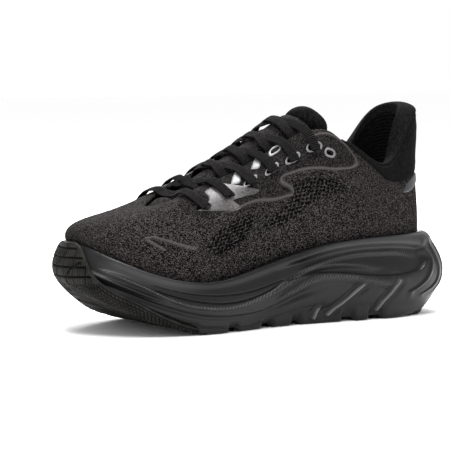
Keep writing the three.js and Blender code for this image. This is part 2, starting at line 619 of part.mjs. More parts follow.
// A flat lace swept through the stops: a six-sided section turned to each stop's normal.
function ribbon(stops, count) {
  const line = new THREE.CatmullRomCurve3(stops.map(stop => stop.point), false, 'centripetal');
  const faces = new THREE.CatmullRomCurve3(stops.map(stop => stop.normal), false, 'catmullrom', 0.5);
  const section = [[-0.5, 0], [-0.38, 0.5], [0.38, 0.5], [0.5, 0], [0.38, -0.5], [-0.38, -0.5]];
  const rings = steps(0, 1, count).map(k => {
    const tangent = line.getTangent(k);
    const normal = faces.getPoint(k);
    normal.addScaledVector(tangent, -normal.dot(tangent)).normalize();
    const across = tangent.clone().cross(normal);
    return section.map(([a, b]) => line.getPoint(k).addScaledVector(across, a * LACE_WIDTH)
      .addScaledVector(normal, b * LACE_THICK));
  });
  const index = [];
  const size = section.length;
  for (let r = 0; r < rings.length - 1; r += 1) {
    for (let i = 0; i < size; i += 1) {
      const j = (i + 1) % size;
      const next = (r + 1) * size;
      index.push(r * size + i, r * size + j, next + j, r * size + i, next + j, next + i);
    }
  }
  const end = (rings.length - 1) * size;
  for (let i = 1; i < size - 1; i += 1) {
    index.push(0, i + 1, i, end, end + i, end + i + 1);
  }
  return bodyFrom(rings.flat(), index);
}

const bar = [-0.6, -0.2, 0.2, 0.6].map(w => instep(1, w, UNDER_LIFT + 0.8));
const laceStops = [
  ...strand('medial', true).reverse(),
  ...run('medial', 1, edgeT(1), OUTER_RUN, [0.5, 0.95]),
  ...bar,
  ...run('lateral', 1, edgeT(1), OUTER_RUN, [0.95, 0.5]),
  ...strand('lateral', false),
];
add('lace', ribbon(laceStops, 260), LACE_COLOR, 0.85);

// Tipped ends: a short rod carries on from each tucked end.
Object.keys(sides).forEach(side => {
  const hand = side === 'medial' ? -1 : 1;
  const [last, before] = [TUCK.at(-1), TUCK.at(-2)]
    .map(([a, w]) => sockTop(a, w * hand, GAP + AGLET_RADIUS + 0.5));
  const direction = last.clone().sub(before).normalize();
  const rod = positionOnly(new THREE.CylinderGeometry(AGLET_RADIUS, AGLET_RADIUS, AGLET_LENGTH, 10));
  rod.applyQuaternion(new THREE.Quaternion().setFromUnitVectors(new THREE.Vector3(0, 1, 0), direction));
  const middle = last.clone().addScaledVector(direction, AGLET_LENGTH / 2 + GAP).addScaledVector(UP, 3.4);
  add(`lace_tip_${side}`, rod.translate(middle.x, middle.y, middle.z), '#1c1c1d', 0.35);
});

// The origin is the middle of the footprint, on the ground.
const box = new THREE.Box3().setFromObject(shoe);
shoe.position.set(-(box.min.x + box.max.x) / 2, -(box.min.y + box.max.y) / 2, -box.min.z);

export default shoe;
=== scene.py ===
# A cushioned running shoe, right foot: foam sole, rubber tread, knit upper, padded collar, tongue, lace.
# Lengths in the formulas are millimetres; to_frame() turns them into the model's own metres.
import math

import bmesh
import bpy
import numpy as np
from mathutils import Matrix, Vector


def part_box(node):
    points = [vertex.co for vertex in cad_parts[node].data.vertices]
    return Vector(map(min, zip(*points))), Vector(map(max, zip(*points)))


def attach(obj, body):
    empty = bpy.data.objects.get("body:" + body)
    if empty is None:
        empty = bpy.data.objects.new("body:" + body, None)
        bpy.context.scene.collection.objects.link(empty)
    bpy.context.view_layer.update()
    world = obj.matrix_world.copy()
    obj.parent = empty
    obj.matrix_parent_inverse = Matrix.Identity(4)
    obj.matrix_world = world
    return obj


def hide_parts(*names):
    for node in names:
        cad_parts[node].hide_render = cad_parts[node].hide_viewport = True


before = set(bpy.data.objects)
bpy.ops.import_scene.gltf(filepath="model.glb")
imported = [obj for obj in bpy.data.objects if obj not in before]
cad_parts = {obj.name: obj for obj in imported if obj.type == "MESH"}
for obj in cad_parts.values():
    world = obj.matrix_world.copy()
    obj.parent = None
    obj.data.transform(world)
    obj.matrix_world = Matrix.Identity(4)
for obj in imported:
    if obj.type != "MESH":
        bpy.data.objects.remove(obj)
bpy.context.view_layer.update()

# ---- camera, light and floor ---------------------------------------------------------------------
# A product camera well back from the shoe, low, in front of the toe on the inner side, with soft
# overhead light. The floor and surround are plain and pale.
CAMERA_AIM = np.array([-0.0015, -0.0025, 0.065])
CAMERA_AZIMUTH = math.radians(-33.5)
CAMERA_ELEVATION = math.radians(4.5)
CAMERA_DISTANCE = 1.5
camera_back = np.array([
    math.sin(CAMERA_AZIMUTH) * math.cos(CAMERA_ELEVATION),
    -math.cos(CAMERA_AZIMUTH) * math.cos(CAMERA_ELEVATION),
    math.sin(CAMERA_ELEVATION),
])
camera_data = bpy.data.cameras.new("product_camera")
camera_data.lens = 178.8
camera_data.sensor_width = 36
camera_data.shift_x = -0.0544
camera_data.shift_y = -0.0022
camera = bpy.data.objects.new("product_camera", camera_data)
bpy.context.scene.collection.objects.link(camera)
camera.location = CAMERA_AIM + camera_back * CAMERA_DISTANCE
camera.rotation_euler = (math.pi / 2 - CAMERA_ELEVATION, 0, CAMERA_AZIMUTH)
bpy.context.scene.camera = camera


def soft_light(name, place, size, power):
    """A square area light at place, in metres, turned to face the middle of the shoe."""
    data = bpy.data.lights.new(name, "AREA")
    data.shape = "SQUARE"
    data.size = size
    data.energy = power
    light = bpy.data.objects.new(name, data)
    bpy.context.scene.collection.objects.link(light)
    light.location = place
    direction = np.array([0, 0, 0.06]) - np.array(place)
    flat = math.hypot(direction[0], direction[1])
    turn = math.atan2(direction[1], direction[0]) - math.pi / 2
    light.rotation_euler = (math.atan2(flat, -direction[2]), 0, turn)


# A plain display curve, so that black cloth comes out black and the floor white.
bpy.context.scene.view_settings.view_transform = "Standard"
soft_light("key_light", (-0.5, -0.6, 1.2), 0.5, 15)
soft_light("top_light", (0.25, 0.2, 1.2), 0.45, 20)
soft_light("rim_light", (0.5, 1.0, 0.8), 0.5, 12)


def linear(hex_colour):
    """Turn an sRGB hex colour into the linear RGBA that the nodes take."""
    parts = [int(hex_colour[i:i + 2], 16) / 255 for i in (1, 3, 5)]
    return [c / 12.92 if c <= 0.04045 else ((c + 0.055) / 1.055) ** 2.4 for c in parts] + [1.0]


def add_node(material, kind, inputs=None, **settings):
    """Add one shader node: settings are its own options; inputs give each socket a value or a link."""
    node = material.node_tree.nodes.new("ShaderNode" + kind)
    for key, value in settings.items():
        setattr(node, key, value)
    for key, value in (inputs or {}).items():
        if isinstance(value, bpy.types.NodeSocket):
            material.node_tree.links.new(value, node.inputs[key])
        else:
            node.inputs[key].default_value = value
    return node


def new_material(name, colour, roughness, **sockets):
    """A material whose one shader has the given base colour and roughness; returns it and its shader."""
    material = bpy.data.materials.new(name)
    material.use_nodes = True
    shader = material.node_tree.nodes["Principled BSDF"]
    shader.inputs["Base Color"].default_value = linear(colour)
    shader.inputs["Roughness"].default_value = roughness
    for key, value in sockets.items():
        shader.inputs[key.replace("_", " ")].default_value = value
    return material, shader


world = bpy.data.worlds.new("pale_surround")
bpy.context.scene.world = world
world.use_nodes = True
world.node_tree.nodes["Background"].inputs["Color"].default_value = linear("#ffffff")
world.node_tree.nodes["Background"].inputs["Strength"].default_value = 1.0

floor_mesh = bpy.data.meshes.new("floor")
FLOOR_HALF = 6.0
floor_mesh.from_pydata(
    [(-FLOOR_HALF, -FLOOR_HALF, 0), (FLOOR_HALF, -FLOOR_HALF, 0), (FLOOR_HALF, FLOOR_HALF, 0),
     (-FLOOR_HALF, FLOOR_HALF, 0)], [], [(0, 1, 2, 3)])
floor = bpy.data.objects.new("floor", floor_mesh)
bpy.context.scene.collection.objects.link(floor)
floor_paint, _ = new_material("matt_white_floor_paint", "#fdfdfd", 0.9)
floor_mesh.materials.append(floor_paint)

# ---- midsole -------------------------------------------------------------------------------------
# One block of expanded EVA foam, hot pressed in a mould. It carries the foot, flares out behind the
# heel and curls up under the toe. Its grooves, ridges and hatched bands are cut into the mould.
SOLE_LENGTH = 300
STATIONS = 20
TREAD = 2.3
GAP = 0.35
# Twenty stations round the sole, from the heel by the inner side. PLAN is the widest outline, as (from the
# heel, to the side); the rest say how far in from it, and how high, each rail of the surface runs.
PLAN = np.array([[0, 0], [7, -26], [30, -43.5], [66, -49], [104, -47.5], [142, -46.5], [180, -51],
                 [218, -56], [255, -49], [283, -29], [294, -3], [283, 24], [258, 46], [224, 59],
                 [186, 60], [148, 54], [108, 50], [68, 49], [32, 44], [8, 27]])
BOTTOM_IN = [19, 15, 9, 8, 9, 10, 9, 8, 9, 10, 10, 10, 9, 8, 8, 9, 9, 8, 9, 15]
BOTTOM_Z = [13, 6, 0, 0, 0, 0, 0, 1, 10, 22, 29, 25, 12, 2, 0, 0, 0, 0, 0, 6]
WIDE_Z = [31, 30, 26, 25, 25, 22, 17, 17, 24, 35, 42, 38, 26, 19, 18, 20, 24, 25, 26, 30]
TOP_IN = [18, 15.5, 9, 6, 5, 5, 5, 5, 5, 5.5, 5.5, 5.5, 5, 5, 5, 5, 5, 6, 9, 15.5]
TOP_Z = [57, 57, 57, 56, 54, 48, 39, 34, 41, 54, 60, 54, 41, 35, 38, 45, 52, 56, 57, 57]
FEATHER_IN = [22, 19.5, 13, 10.5, 9.5, 9.5, 9.5, 9.5, 9.5, 9, 8.5, 9, 9.5, 9.5, 9.5, 9.5, 9.5, 10.5, 13,
              19.5]
FEATHER_Z = [54, 54, 54, 54, 51, 45, 36, 31, 38, 51, 57, 51, 38, 32, 35, 42, 49, 54, 54, 54]


def closed_spline(points):
    """Coefficients of the closed cubic B-spline through points, each (from heel, side, up)."""
    points = np.column_stack([SOLE_LENGTH / 2 - points[:, 0], points[:, 1], points[:, 2]])
    coefficients = points
    for _ in range(40):
        coefficients = (6 * points - np.roll(coefficients, 1, 0) - np.roll(coefficients, -1, 0)) / 4
    return coefficients


def along(coefficients, t):
    """Points of the closed spline at t, which goes from 0 to 1 round from the heel by the inner side."""
    position = np.mod(t, 1.0) * STATIONS
    i = np.floor(position).astype(int)
    f = (position - i)[..., None]
    weights = [(1 - f) ** 3, 3 * f ** 3 - 6 * f ** 2 + 4, -3 * f ** 3 + 3 * f ** 2 + 3 * f + 1, f ** 3]
    return sum(weights[k] / 6 * coefficients[(i + k - 1) % STATIONS] for k in range(4))


def unit(vectors):
    """The vectors on the last axis, each at length 1."""
    return vectors / np.linalg.norm(vectors, axis=-1)[..., None]


def inset_rail(insets, heights):
    """The plan outline moved inward at each station, at the given heights."""
    direction = unit(np.roll(PLAN, -1, 0) - np.roll(PLAN, 1, 0))
    inward = np.stack([-direction[:, 1], direction[:, 0]], 1)
    return closed_spline(np.column_stack([PLAN + inward * np.array(insets)[:, None], heights]))


BOTTOM_RAIL = inset_rail(BOTTOM_IN, np.array(BOTTOM_Z) + TREAD + GAP)
WIDE_RAIL = inset_rail([0] * STATIONS, WIDE_Z)
TOP_RAIL = inset_rail(TOP_IN, TOP_Z)
FEATHER_RAIL = inset_rail(FEATHER_IN, FEATHER_Z)


def bottom_edge(t):
    """Bottom edge of the foam: the bottom rail, never lower than its flat stretch."""
    points = along(BOTTOM_RAIL, t)
    points[..., 2] = np.maximum(points[..., 2], TREAD + GAP)
    return points


def wall(t, v):
    """Sidewall: a parabola from the bottom edge (v 0) through the widest line to the top lip (v 1)."""
    bottom = bottom_edge(t)
    top = along(TOP_RAIL, t)
    handle = 2 * along(WIDE_RAIL, t) - (bottom + top) / 2
    v = v[..., None]
    return bottom * (1 - v) ** 2 + handle * 2 * v * (1 - v) + top * v * v


def underside(t, w):
    """Straight across between the two bottom edges, from the inner one (w -1) to the outer one (w 1)."""
    k = ((w + 1) / 2)[..., None]
    return bottom_edge(t) * (1 - k) + bottom_edge(1 - t) * k


def footbed(t, inset, rise):
    """The line where upper meets sole, moved inward in plan and up."""
    tangent = along(FEATHER_RAIL, t + 0.002) - along(FEATHER_RAIL, t - 0.002)
    inward = np.stack([tangent[..., 1], -tangent[..., 0], np.zeros(tangent.shape[:-1])], -1)
    return along(FEATHER_RAIL, t) + unit(inward) * inset[..., None] + np.array([0, 0, 1]) * rise


def normals(points, wraps=False):
    """Unit normals of a grid of points: the cross product of its steps along v and along t."""
    across_t = np.gradient(points, axis=0)
    if wraps:
        across_t = (np.roll(points, -1, 0) - np.roll(points, 1, 0)) / 2
    cross = np.cross(np.gradient(points, axis=1), across_t)
    return cross / np.maximum(np.linalg.norm(cross, axis=-1), 1e-9)[..., None]


def ease(a, b, x):
    """Smooth step from 0 at a to 1 at b, either way round."""
    k = np.clip((x - a) / (b - a), 0, 1)
    return k * k * (3 - 2 * k)


def through(points, x):
    """Height at x of the smooth curve through given points (x, y), level beyond its ends."""
    p = np.array(sorted(points), dtype=float)
    slope = np.gradient(p[:, 1], p[:, 0])
    x = np.clip(x, p[0, 0], p[-1, 0])
    i = np.clip(np.searchsorted(p[:, 0], x) - 1, 0, len(p) - 2)
    h = p[i + 1, 0] - p[i, 0]
    k = (x - p[i, 0]) / h
    start = p[i, 1] * (1 + 2 * k) * (1 - k) ** 2 + slope[i] * h * k * (1 - k) ** 2
    return start + p[i + 1, 1] * k * k * (3 - 2 * k) + slope[i + 1] * h * k * k * (k - 1)


def hump(x, width):
    """Rounded hump of height 1 at x = 0, about `width` wide on each side."""
    return np.exp(-(x / width) ** 2)


def strip_distance(a, b, line, scale):
    """Distance in millimetres from each (a, b) to a line of points (a, b); scale is mm per unit of each."""
    p = np.array(line, dtype=float) * scale
    q = np.stack([a * scale[0], b * scale[1]], -1)
    best = np.full(q.shape[:-1], 1e9)
    for start, end in zip(p[:-1], p[1:]):
        span = end - start
        k = np.clip(((q - start) @ span) / (span @ span), 0, 1)
        best = np.minimum(best, np.linalg.norm(q - start - k[..., None] * span, axis=-1))
    return best


grid_t, grid_v = np.meshgrid(np.arange(64) / 64, np.linspace(0, 1, 8), indexing="ij")
SHIFT = np.array(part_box("midsole")[0]) - wall(grid_t, grid_v).min(axis=(0, 1)) * 0.001


def to_frame(points):
    """Millimetres in the formulas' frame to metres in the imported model's frame."""
    return points * 0.001 + SHIFT


def grid_piece(name, points, material, body="root", wraps=(False, False), caps=False, uv=None, fields=None):
    """A closed piece from a grid of points (rows, columns, 3), in millimetres.

    Rows and columns may wrap round. caps closes the first and last row with one face each. Doubled
    points are merged, and the faces are turned outward by the sign of the enclosed volume. uv has one
    more row or column than points where they wrap. fields are numbers per point that materials read.
    """
    rows, columns = points.shape[:2]
    row_count = rows if wraps[0] else rows - 1
    column_count = columns if wraps[1] else columns - 1
    i, j = np.meshgrid(np.arange(row_count), np.arange(column_count), indexing="ij")
    corners = np.stack([np.stack([i, j], -1), np.stack([i + 1, j], -1), np.stack([i + 1, j + 1], -1),
                        np.stack([i, j + 1], -1)], 2).reshape(-1, 4, 2)
    index = (corners[..., 0] % rows) * columns + corners[..., 1] % columns
    flat = to_frame(points.reshape(-1, 3))
    a, b, c, d = (flat[index[:, k]] for k in range(4))
    centre = flat.mean(0)
    volume = np.einsum("ij,ij->", a - centre, np.cross(b - centre, c - centre))
    volume += np.einsum("ij,ij->", a - centre, np.cross(c - centre, d - centre))
    if volume < 0:
        index = index[:, ::-1]
        corners = corners[:, ::-1]
    mesh = bpy.data.meshes.new(name)
    faces = index.tolist()
    if caps:
        first = np.arange(columns)
        last = (rows - 1) * columns + first
        faces += [(first if volume < 0 else first[::-1]).tolist(),
                  (last[::-1] if volume < 0 else last).tolist()]
    mesh.from_pydata(flat.tolist(), [], faces)
    if uv is not None:
        layer = mesh.uv_layers.new(name="surface_mm")
        values = uv[corners[..., 0], corners[..., 1]].reshape(-1, 2)
        if caps:
            ends = np.concatenate([uv[0, :columns], uv[-1, :columns]])
            values = np.concatenate([values, ends])
        layer.data.foreach_set("uv", values.astype(np.float32).ravel())
    for key, value in (fields or {}).items():
        attribute = mesh.attributes.new(key, "FLOAT", "POINT")
        attribute.data.foreach_set("value", value.astype(np.float32).ravel())
    work = bmesh.new()
    work.from_mesh(mesh)
    bmesh.ops.remove_doubles(work, verts=work.verts, dist=1e-6)
    if caps:
        bmesh.ops.recalc_face_normals(work, faces=work.faces)
    work.to_mesh(mesh)
    work.free()
    mesh.shade_smooth()
    mesh.materials.append(material)
    piece = bpy.data.objects.new(name, mesh)
    bpy.context.scene.collection.objects.link(piece)
    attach(piece, body)
    return piece


def half_round(t):
    """Distance round from the heel on either side, 0 to 0.5."""
    t = np.mod(t, 1.0)
    return np.minimum(t, 1 - t)


# Lines moulded in the sidewall, each as (distance round from the heel, height up the wall).
LIP_LINE = [(0.0, 0.86), (0.06, 0.86), (0.103, 0.885), (0.136, 0.935), (0.17, 0.955), (0.21, 0.95),
            (0.245, 0.925)]
RECESS_FLOOR = [(0.1, 0.72), (0.11, 0.64), (0.129, 0.59), (0.15, 0.577), (0.178, 0.603), (0.2, 0.647),
                (0.225, 0.695), (0.26, 0.7)]
RIB_HIGH = [(0.124, 0.80), (0.138, 0.84), (0.162, 0.857), (0.184, 0.86), (0.205, 0.845), (0.226, 0.82),
            (0.26, 0.76)]
BAND = [(0.17, 0.70), (0.192, 0.747), (0.21, 0.772), (0.227, 0.777), (0.248, 0.725), (0.271, 0.627),
        (0.294, 0.567), (0.316, 0.525), (0.348, 0.515), (0.374, 0.56), (0.391, 0.64), (0.408, 0.72),
        (0.424, 0.75), (0.452, 0.74)]
WAVE = [(0.14, 0.53), (0.157, 0.49), (0.171, 0.52), (0.186, 0.56), (0.2, 0.59), (0.214, 0.613),
        (0.227, 0.625), (0.242, 0.6), (0.256, 0.55), (0.275, 0.48)]
GROOVE_HIGH = [(0.266, 0.735), (0.28, 0.735), (0.294, 0.728), (0.318, 0.742), (0.347, 0.77), (0.372, 0.79),
               (0.404, 0.82)]
GROOVE_LOW = [(0.266, 0.722), (0.278, 0.675), (0.295, 0.633), (0.312, 0.613), (0.334, 0.613),
              (0.362, 0.65), (0.385, 0.697), (0.401, 0.73)]
VALLEY = [(0.228, 0.5), (0.248, 0.46), (0.27, 0.367), (0.291, 0.29), (0.31, 0.28), (0.332, 0.285),
          (0.354, 0.3), (0.379, 0.36), (0.401, 0.42), (0.42, 0.48), (0.452, 0.53)]
TOE_RIDGE = [(0.39, 0.56), (0.402, 0.583), (0.42, 0.62), (0.438, 0.64), (0.46, 0.655)]
FRONT_LINE = [(0.23, 0.235), (0.24, 0.25), (0.252, 0.223), (0.266, 0.19), (0.287, 0.12), (0.308, 0.07),
              (0.335, 0.105), (0.36, 0.11)]
SLASHES = [[(0.182, 0.49), (0.192, 0.38), (0.202, 0.253), (0.215, 0.11)],
           [(0.143, 0.52), (0.148, 0.42), (0.158, 0.253), (0.163, 0.1)],
           [(0.225, 0.2), (0.229, 0.08)]]
REAR_RIDGES = [[(0.3, 0.112), (0.41, 0.087), (0.543, 0.078), (0.68, 0.08), (0.86, 0.088)],
               [(0.36, 0.128), (0.48, 0.108), (0.59, 0.098), (0.72, 0.095), (0.83, 0.105)],
               [(0.28, 0.092), (0.38, 0.066), (0.52, 0.056), (0.68, 0.056), (0.86, 0.062)]]
WALL_SCALE = np.array([640.0, 52.0])    # millimetres per turn and per wall height
# Relief along those lines: height or depth in millimetres, half width as a share of the wall's height, and
# the stretches round the sole over which it starts and stops. The first two are hatched as well.
RELIEF_LINES = [
    (BAND, 1.9, 0.034, (0.15, 0.2), (0.46, 0.42)),
    (WAVE, 2.1, 0.05, (0.125, 0.16), (0.28, 0.255)),
    (RIB_HIGH, 1.3, 0.022, (0.122, 0.15), (0.26, 0.235)),
    (GROOVE_HIGH, -1.3, 0.012, (0.262, 0.27), (0.408, 0.395)),
    (GROOVE_LOW, -1.3, 0.012, (0.262, 0.27), (0.408, 0.395)),
    (VALLEY, -1.8, 0.07, (0.215, 0.25), (0.47, 0.43)),
    (TOE_RIDGE, 1.6, 0.035, (0.375, 0.405), (0.475, 0.45)),
    (FRONT_LINE, -0.8, 0.013, (0.225, 0.24), (0.37, 0.35)),
]


def moulded(t, v):
    """The sidewall's moulded relief in millimetres, how far it is hatched, and how much painted highlight
    it takes, each 0 to 1.
    """
    s = half_round(t)
    lip_foot = through(LIP_LINE, s)
    relief = 2.0 * hump(v - (lip_foot + 1) / 2, 0.06) * ease(0.46, 0.43, s)
    recess = ease(0.0, 0.018, v - through(RECESS_FLOOR, s)) * ease(0.0, 0.05, lip_foot - v)
    recess = recess * ease(0.098, 0.112, s) * ease(0.275, 0.235, s)
    relief = relief - 3.4 * recess
    shares = []
    for line, height, width, starts, stops in RELIEF_LINES:
        shares.append(hump(v - through(line, s), width) * ease(*starts, s) * ease(*stops, s))
        relief = relief + height * shares[-1]
    painted_highlight = np.zeros(s.shape)
    # The slanting ridges: raised relief, with a painted highlight along each.
    for line in SLASHES:
        away = strip_distance(s, v, line, WALL_SCALE)
        painted_highlight = np.maximum(painted_highlight, hump(away, 0.75))
        relief = relief + 1.5 * hump(away, 0.8) - 0.9 * hump(away - 3, 1.8)
    for line in REAR_RIDGES:
        near = hump((s - through(line, v)) * WALL_SCALE[0], 2.2)
        relief = relief + 1.2 * near * ease(0.2, 0.4, v) * ease(0.95, 0.8, v)
    on_rib = hump(v - through(RIB_HIGH, s), 0.03) * ease(0.085, 0.11, s) * ease(0.27, 0.24, s)
    hatch = np.maximum(shares[0], shares[1]) + 0.6 * on_rib
    # Painted highlight along the lip, where the overhead light catches it.
    lip = hump(v - 0.95, 0.07) * ease(0.09, 0.13, s) * ease(0.25, 0.2, s) \
        + hump(v - 0.9, 0.1) * ease(0.34, 0.39, s) * ease(0.46, 0.43, s)
    return relief, np.clip(hatch, 0, 1), np.clip(painted_highlight + 0.2 * lip, 0, 1)


# Foam lugs along the bottom edge, between notches, as stretches of the distance round from the heel.
FOAM_LUGS = [(0.105, 0.157), (0.171, 0.187), (0.199, 0.243), (0.25, 0.273), (0.284, 0.314), (0.323, 0.357)]
LUG_DROP = TREAD + GAP - 0.4
LUG_REACH = 3.3


def lug(t):
    """1 inside a foam lug and 0 in a notch, with short slopes between."""
    s = half_round(t)
    return sum(ease(a - 0.002, a + 0.003, s) * ease(b + 0.002, b - 0.003, s) for a, b in FOAM_LUGS)


SOLE_COLUMNS = 660
UNDER_ROWS = 12
WALL_ROWS = 118
t_line = np.arange(SOLE_COLUMNS) / SOLE_COLUMNS
wall_t, wall_v = np.meshgrid(t_line, np.linspace(0, 1, WALL_ROWS), indexing="ij")
wall_points = wall(wall_t, wall_v)
wall_normals = normals(wall_points, wraps=True)
relief, hatch, painted_highlight = moulded(wall_t, wall_v)
relief = relief * ease(0, 0.06, wall_v) * ease(1.0, 0.97, wall_v)
wall_points = wall_points + wall_normals * relief[..., None]
outward = unit(wall_normals * [1, 1, 0])
lug_share = (ease(0.2, 0.0, wall_v) * lug(wall_t) * ease(0.1, 0.145, half_round(wall_t)))[..., None]
wall_points = wall_points + outward * lug_share * LUG_REACH - [0, 0, 1] * lug_share * LUG_DROP
under_k = np.linspace(1, 0.02, UNDER_ROWS)[None, :]
under_t = np.repeat(t_line[:, None], under_k.shape[1], 1)
under_points = underside(under_t, under_k * 0 - 1) * (1 - under_k[..., None] / 2) \
    + underside(under_t, under_k * 0 + 1) * under_k[..., None] / 2
under_points[..., 2] -= ease(0.16, 0.05, under_k) * lug(under_t) * LUG_DROP \
    * ease(0.1, 0.145, half_round(under_t))
under_points[..., 2] += 1.6 * ease(0.75, 0.95, under_k)
lip_a = footbed(t_line, np.full(SOLE_COLUMNS, -2.2), 0.6)
lip_b = footbed(t_line, np.full(SOLE_COLUMNS, -1.0), -2 * GAP)
mirror = np.roll(lip_b[::-1], 1, 0)
top_points = np.stack([lip_a, lip_b] + [lip_b * (1 - k) + mirror * k for k in (0.12, 0.3, 0.5)], 1)
sole_points = np.concatenate([under_points, wall_points, top_points], 1)
sole_fields = {"hatch": hatch, "painted_highlight": painted_highlight}
for field_name, field in sole_fields.items():
    sole_fields[field_name] = np.pad(field, [(0, 0), (UNDER_ROWS, top_points.shape[1])])
sole_mm = np.concatenate([np.linspace(-40, -1, UNDER_ROWS), np.linspace(0, WALL_SCALE[1], WALL_ROWS),
                          np.linspace(54, 80, top_points.shape[1])])


def all_pairs(a, b):
    """Every pair of a, down the rows, and b, along the columns, in one array."""
    return np.stack(np.meshgrid(a, b, indexing="ij"), -1)


def link_surface(material, shader, colour=None, height=None, strength=0.0, distance=0.0):
    """Link a colour to the shader, and a height as bump of this strength over this distance in metres."""
    if colour is not None:
        material.node_tree.links.new(colour, shader.inputs["Base Color"])
    if height is not None:
        bump = add_node(material, "Bump", {"Height": height, "Strength": strength, "Distance": distance})
        material.node_tree.links.new(bump.outputs["Normal"], shader.inputs["Normal"])



# Pressed EVA foam: satin, almost black, with a faint orange-peel skin and hatched bands that catch light.
foam_material, shader = new_material("pressed_eva_foam", "#0c0c0d", 0.36, Specular_IOR_Level=0.2)
place_mm = add_node(foam_material, "UVMap", uv_map="surface_mm").outputs["UV"]
hatch_value = add_node(foam_material, "Attribute", attribute_name="hatch").outputs["Fac"]
# Hatch lines about 1 mm apart, wider than on a real sole so that they still show.
lines = add_node(foam_material, "TexWave", {"Vector": place_mm, "Scale": 0.3, "Distortion": 0.0},
                 bands_direction="DIAGONAL", wave_type="BANDS")
hatched = add_node(foam_material, "Math", {0: lines.outputs["Fac"], 1: hatch_value}, operation="MULTIPLY")
skin = add_node(foam_material, "TexNoise", {"Vector": place_mm, "Scale": 0.9, "Detail": 3.0})
skin_soft = add_node(foam_material, "Math", {0: skin.outputs["Fac"], 1: 0.1}, operation="MULTIPLY")
height = add_node(foam_material, "Math", {0: hatched.outputs[0], 1: skin_soft.outputs[0]}, operation="ADD")
# Painted highlight: the hatch lines are mixed lighter, as their fine ridges catch the light.
tint = add_node(foam_material, "Mix", {
    "Factor": hatched.outputs[0], "A": linear("#0b0b0c"), "B": linear("#2c2c2d")}, data_type="RGBA")
# Painted highlight: the colour is mixed pale on the sharp slanting ridges and a little on the lip, where
# light catches them.
painted_highlight_value = add_node(foam_material, "Attribute", attribute_name="painted_highlight").outputs["Fac"]
painted_highlight_mix = add_node(foam_material, "Mix", {
    "Factor": painted_highlight_value, "A": tint.outputs[2], "B": linear("#5c5c5e")}, data_type="RGBA")
link_surface(foam_material, shader, painted_highlight_mix.outputs[2], height.outputs[0], 0.8, 0.0005)

midsole = grid_piece(
    "midsole_foam", sole_points, foam_material, wraps=(True, False), fields=sole_fields,
    uv=all_pairs(np.arange(SOLE_COLUMNS + 1) / SOLE_COLUMNS * WALL_SCALE[0], sole_mm))
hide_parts("midsole")

# ---- toe rubber ----------------------------------------------------------------------------------
# One piece of carbon rubber, moulded with its tread and glued under the forefoot; it climbs the toe as a
# bumper. Rows of small tiles, cross ribs and sipes are cut in it.
RUBBER_TOP = [(0.0, 0.985), (0.022, 0.985), (0.03, 0.93), (0.038, 0.79), (0.045, 0.66), (0.056, 0.53),
              (0.066, 0.47), (0.088, 0.39), (0.107, 0.24), (0.125, 0.13), (0.14, 0.07), (0.165, 0.03)]
TOE_COLUMNS = 520
TOE_ROWS = 170
toe_t = np.repeat(np.linspace(0.345, 0.655, TOE_COLUMNS)[:, None], TOE_ROWS, 1)
toe_top = through(RUBBER_TOP, np.abs(toe_t - 0.5))
toe_s = np.repeat(np.linspace(0, 1, TOE_ROWS)[None, :], TOE_COLUMNS, 0)
UNDER_SHARE = 0.45
under_part = underside(toe_t, np.sign(toe_t - 0.5) * np.clip(toe_s / UNDER_SHARE, 0, 1))
wall_part = wall(toe_t, np.clip((toe_s - UNDER_SHARE) / (1 - UNDER_SHARE), 0, 1) * toe_top)
toe_base = np.where((toe_s < UNDER_SHARE)[..., None], under_part, wall_part)
toe_normal = normals(toe_base)
for _ in range(6):
    toe_normal[:, 1:-1] = (toe_normal[:, :-2] + toe_normal[:, 1:-1] * 2 + toe_normal[:, 2:]) / 4
toe_normal[:, 0] = [0, 0, -1]
toe_normal = unit(toe_normal)
toe_down = np.concatenate([np.zeros((TOE_COLUMNS, 1)), np.cumsum(
    np.linalg.norm(np.diff(toe_base, axis=1), axis=-1), 1)], 1)
toe_down = toe_down[:, -1:] - toe_down          # millimetres down from the rubber's top edge
toe_round = (toe_t - 0.5) * WALL_SCALE[0]       # millimetres round from the very front


def groove(x, pitch, width):
    """1 in grooves of the given width, one every pitch, 0 between them."""
    away = np.abs(np.mod(x, pitch) - pitch / 2)
    return ease(width, width * 0.4, away)


def tread(round_mm, down_mm, height_mm):
    """Depth of the tread in millimetres: level grooves, fine ribs, a tile grid lower down, sipes."""
    front = ease(3.5, 5.0, down_mm)
    lower = ease(36, 34, height_mm)
    depth = 1.6 * groove(height_mm + 1.3, 5.4, 0.75) * ease(2.6, 3.6, down_mm) * (1 - lower)
    depth = depth + 0.6 * groove(round_mm, 2.1, 0.55) * front * (1 - lower)
    depth = depth + 0.8 * groove(round_mm, 9.5, 0.45) * (1 - lower)
    tiles = np.maximum(groove(round_mm + 0.18 * down_mm, 2.3, 0.5), groove(down_mm, 2.3, 0.5))
    depth = depth + 1.3 * tiles * lower
    for start in (-14, 1, 16):
        sipe = round_mm - start - 0.55 * (down_mm - 14) - 2.4 * np.sin((down_mm - 14) / 7)
        depth = depth + 1.6 * ease(0.95, 0.35, np.abs(sipe)) * ease(6, 8, down_mm) * ease(44, 40, down_mm)
    for start in (-24, -10, 6, 20):
        pit = np.hypot((round_mm - start) / 1.7, (down_mm - 43 - 0.3 * abs(start)) / 4.2)
        depth = depth + 1.9 * ease(1.15, 0.8, pit)
    return np.clip(depth, 0, 2.0)


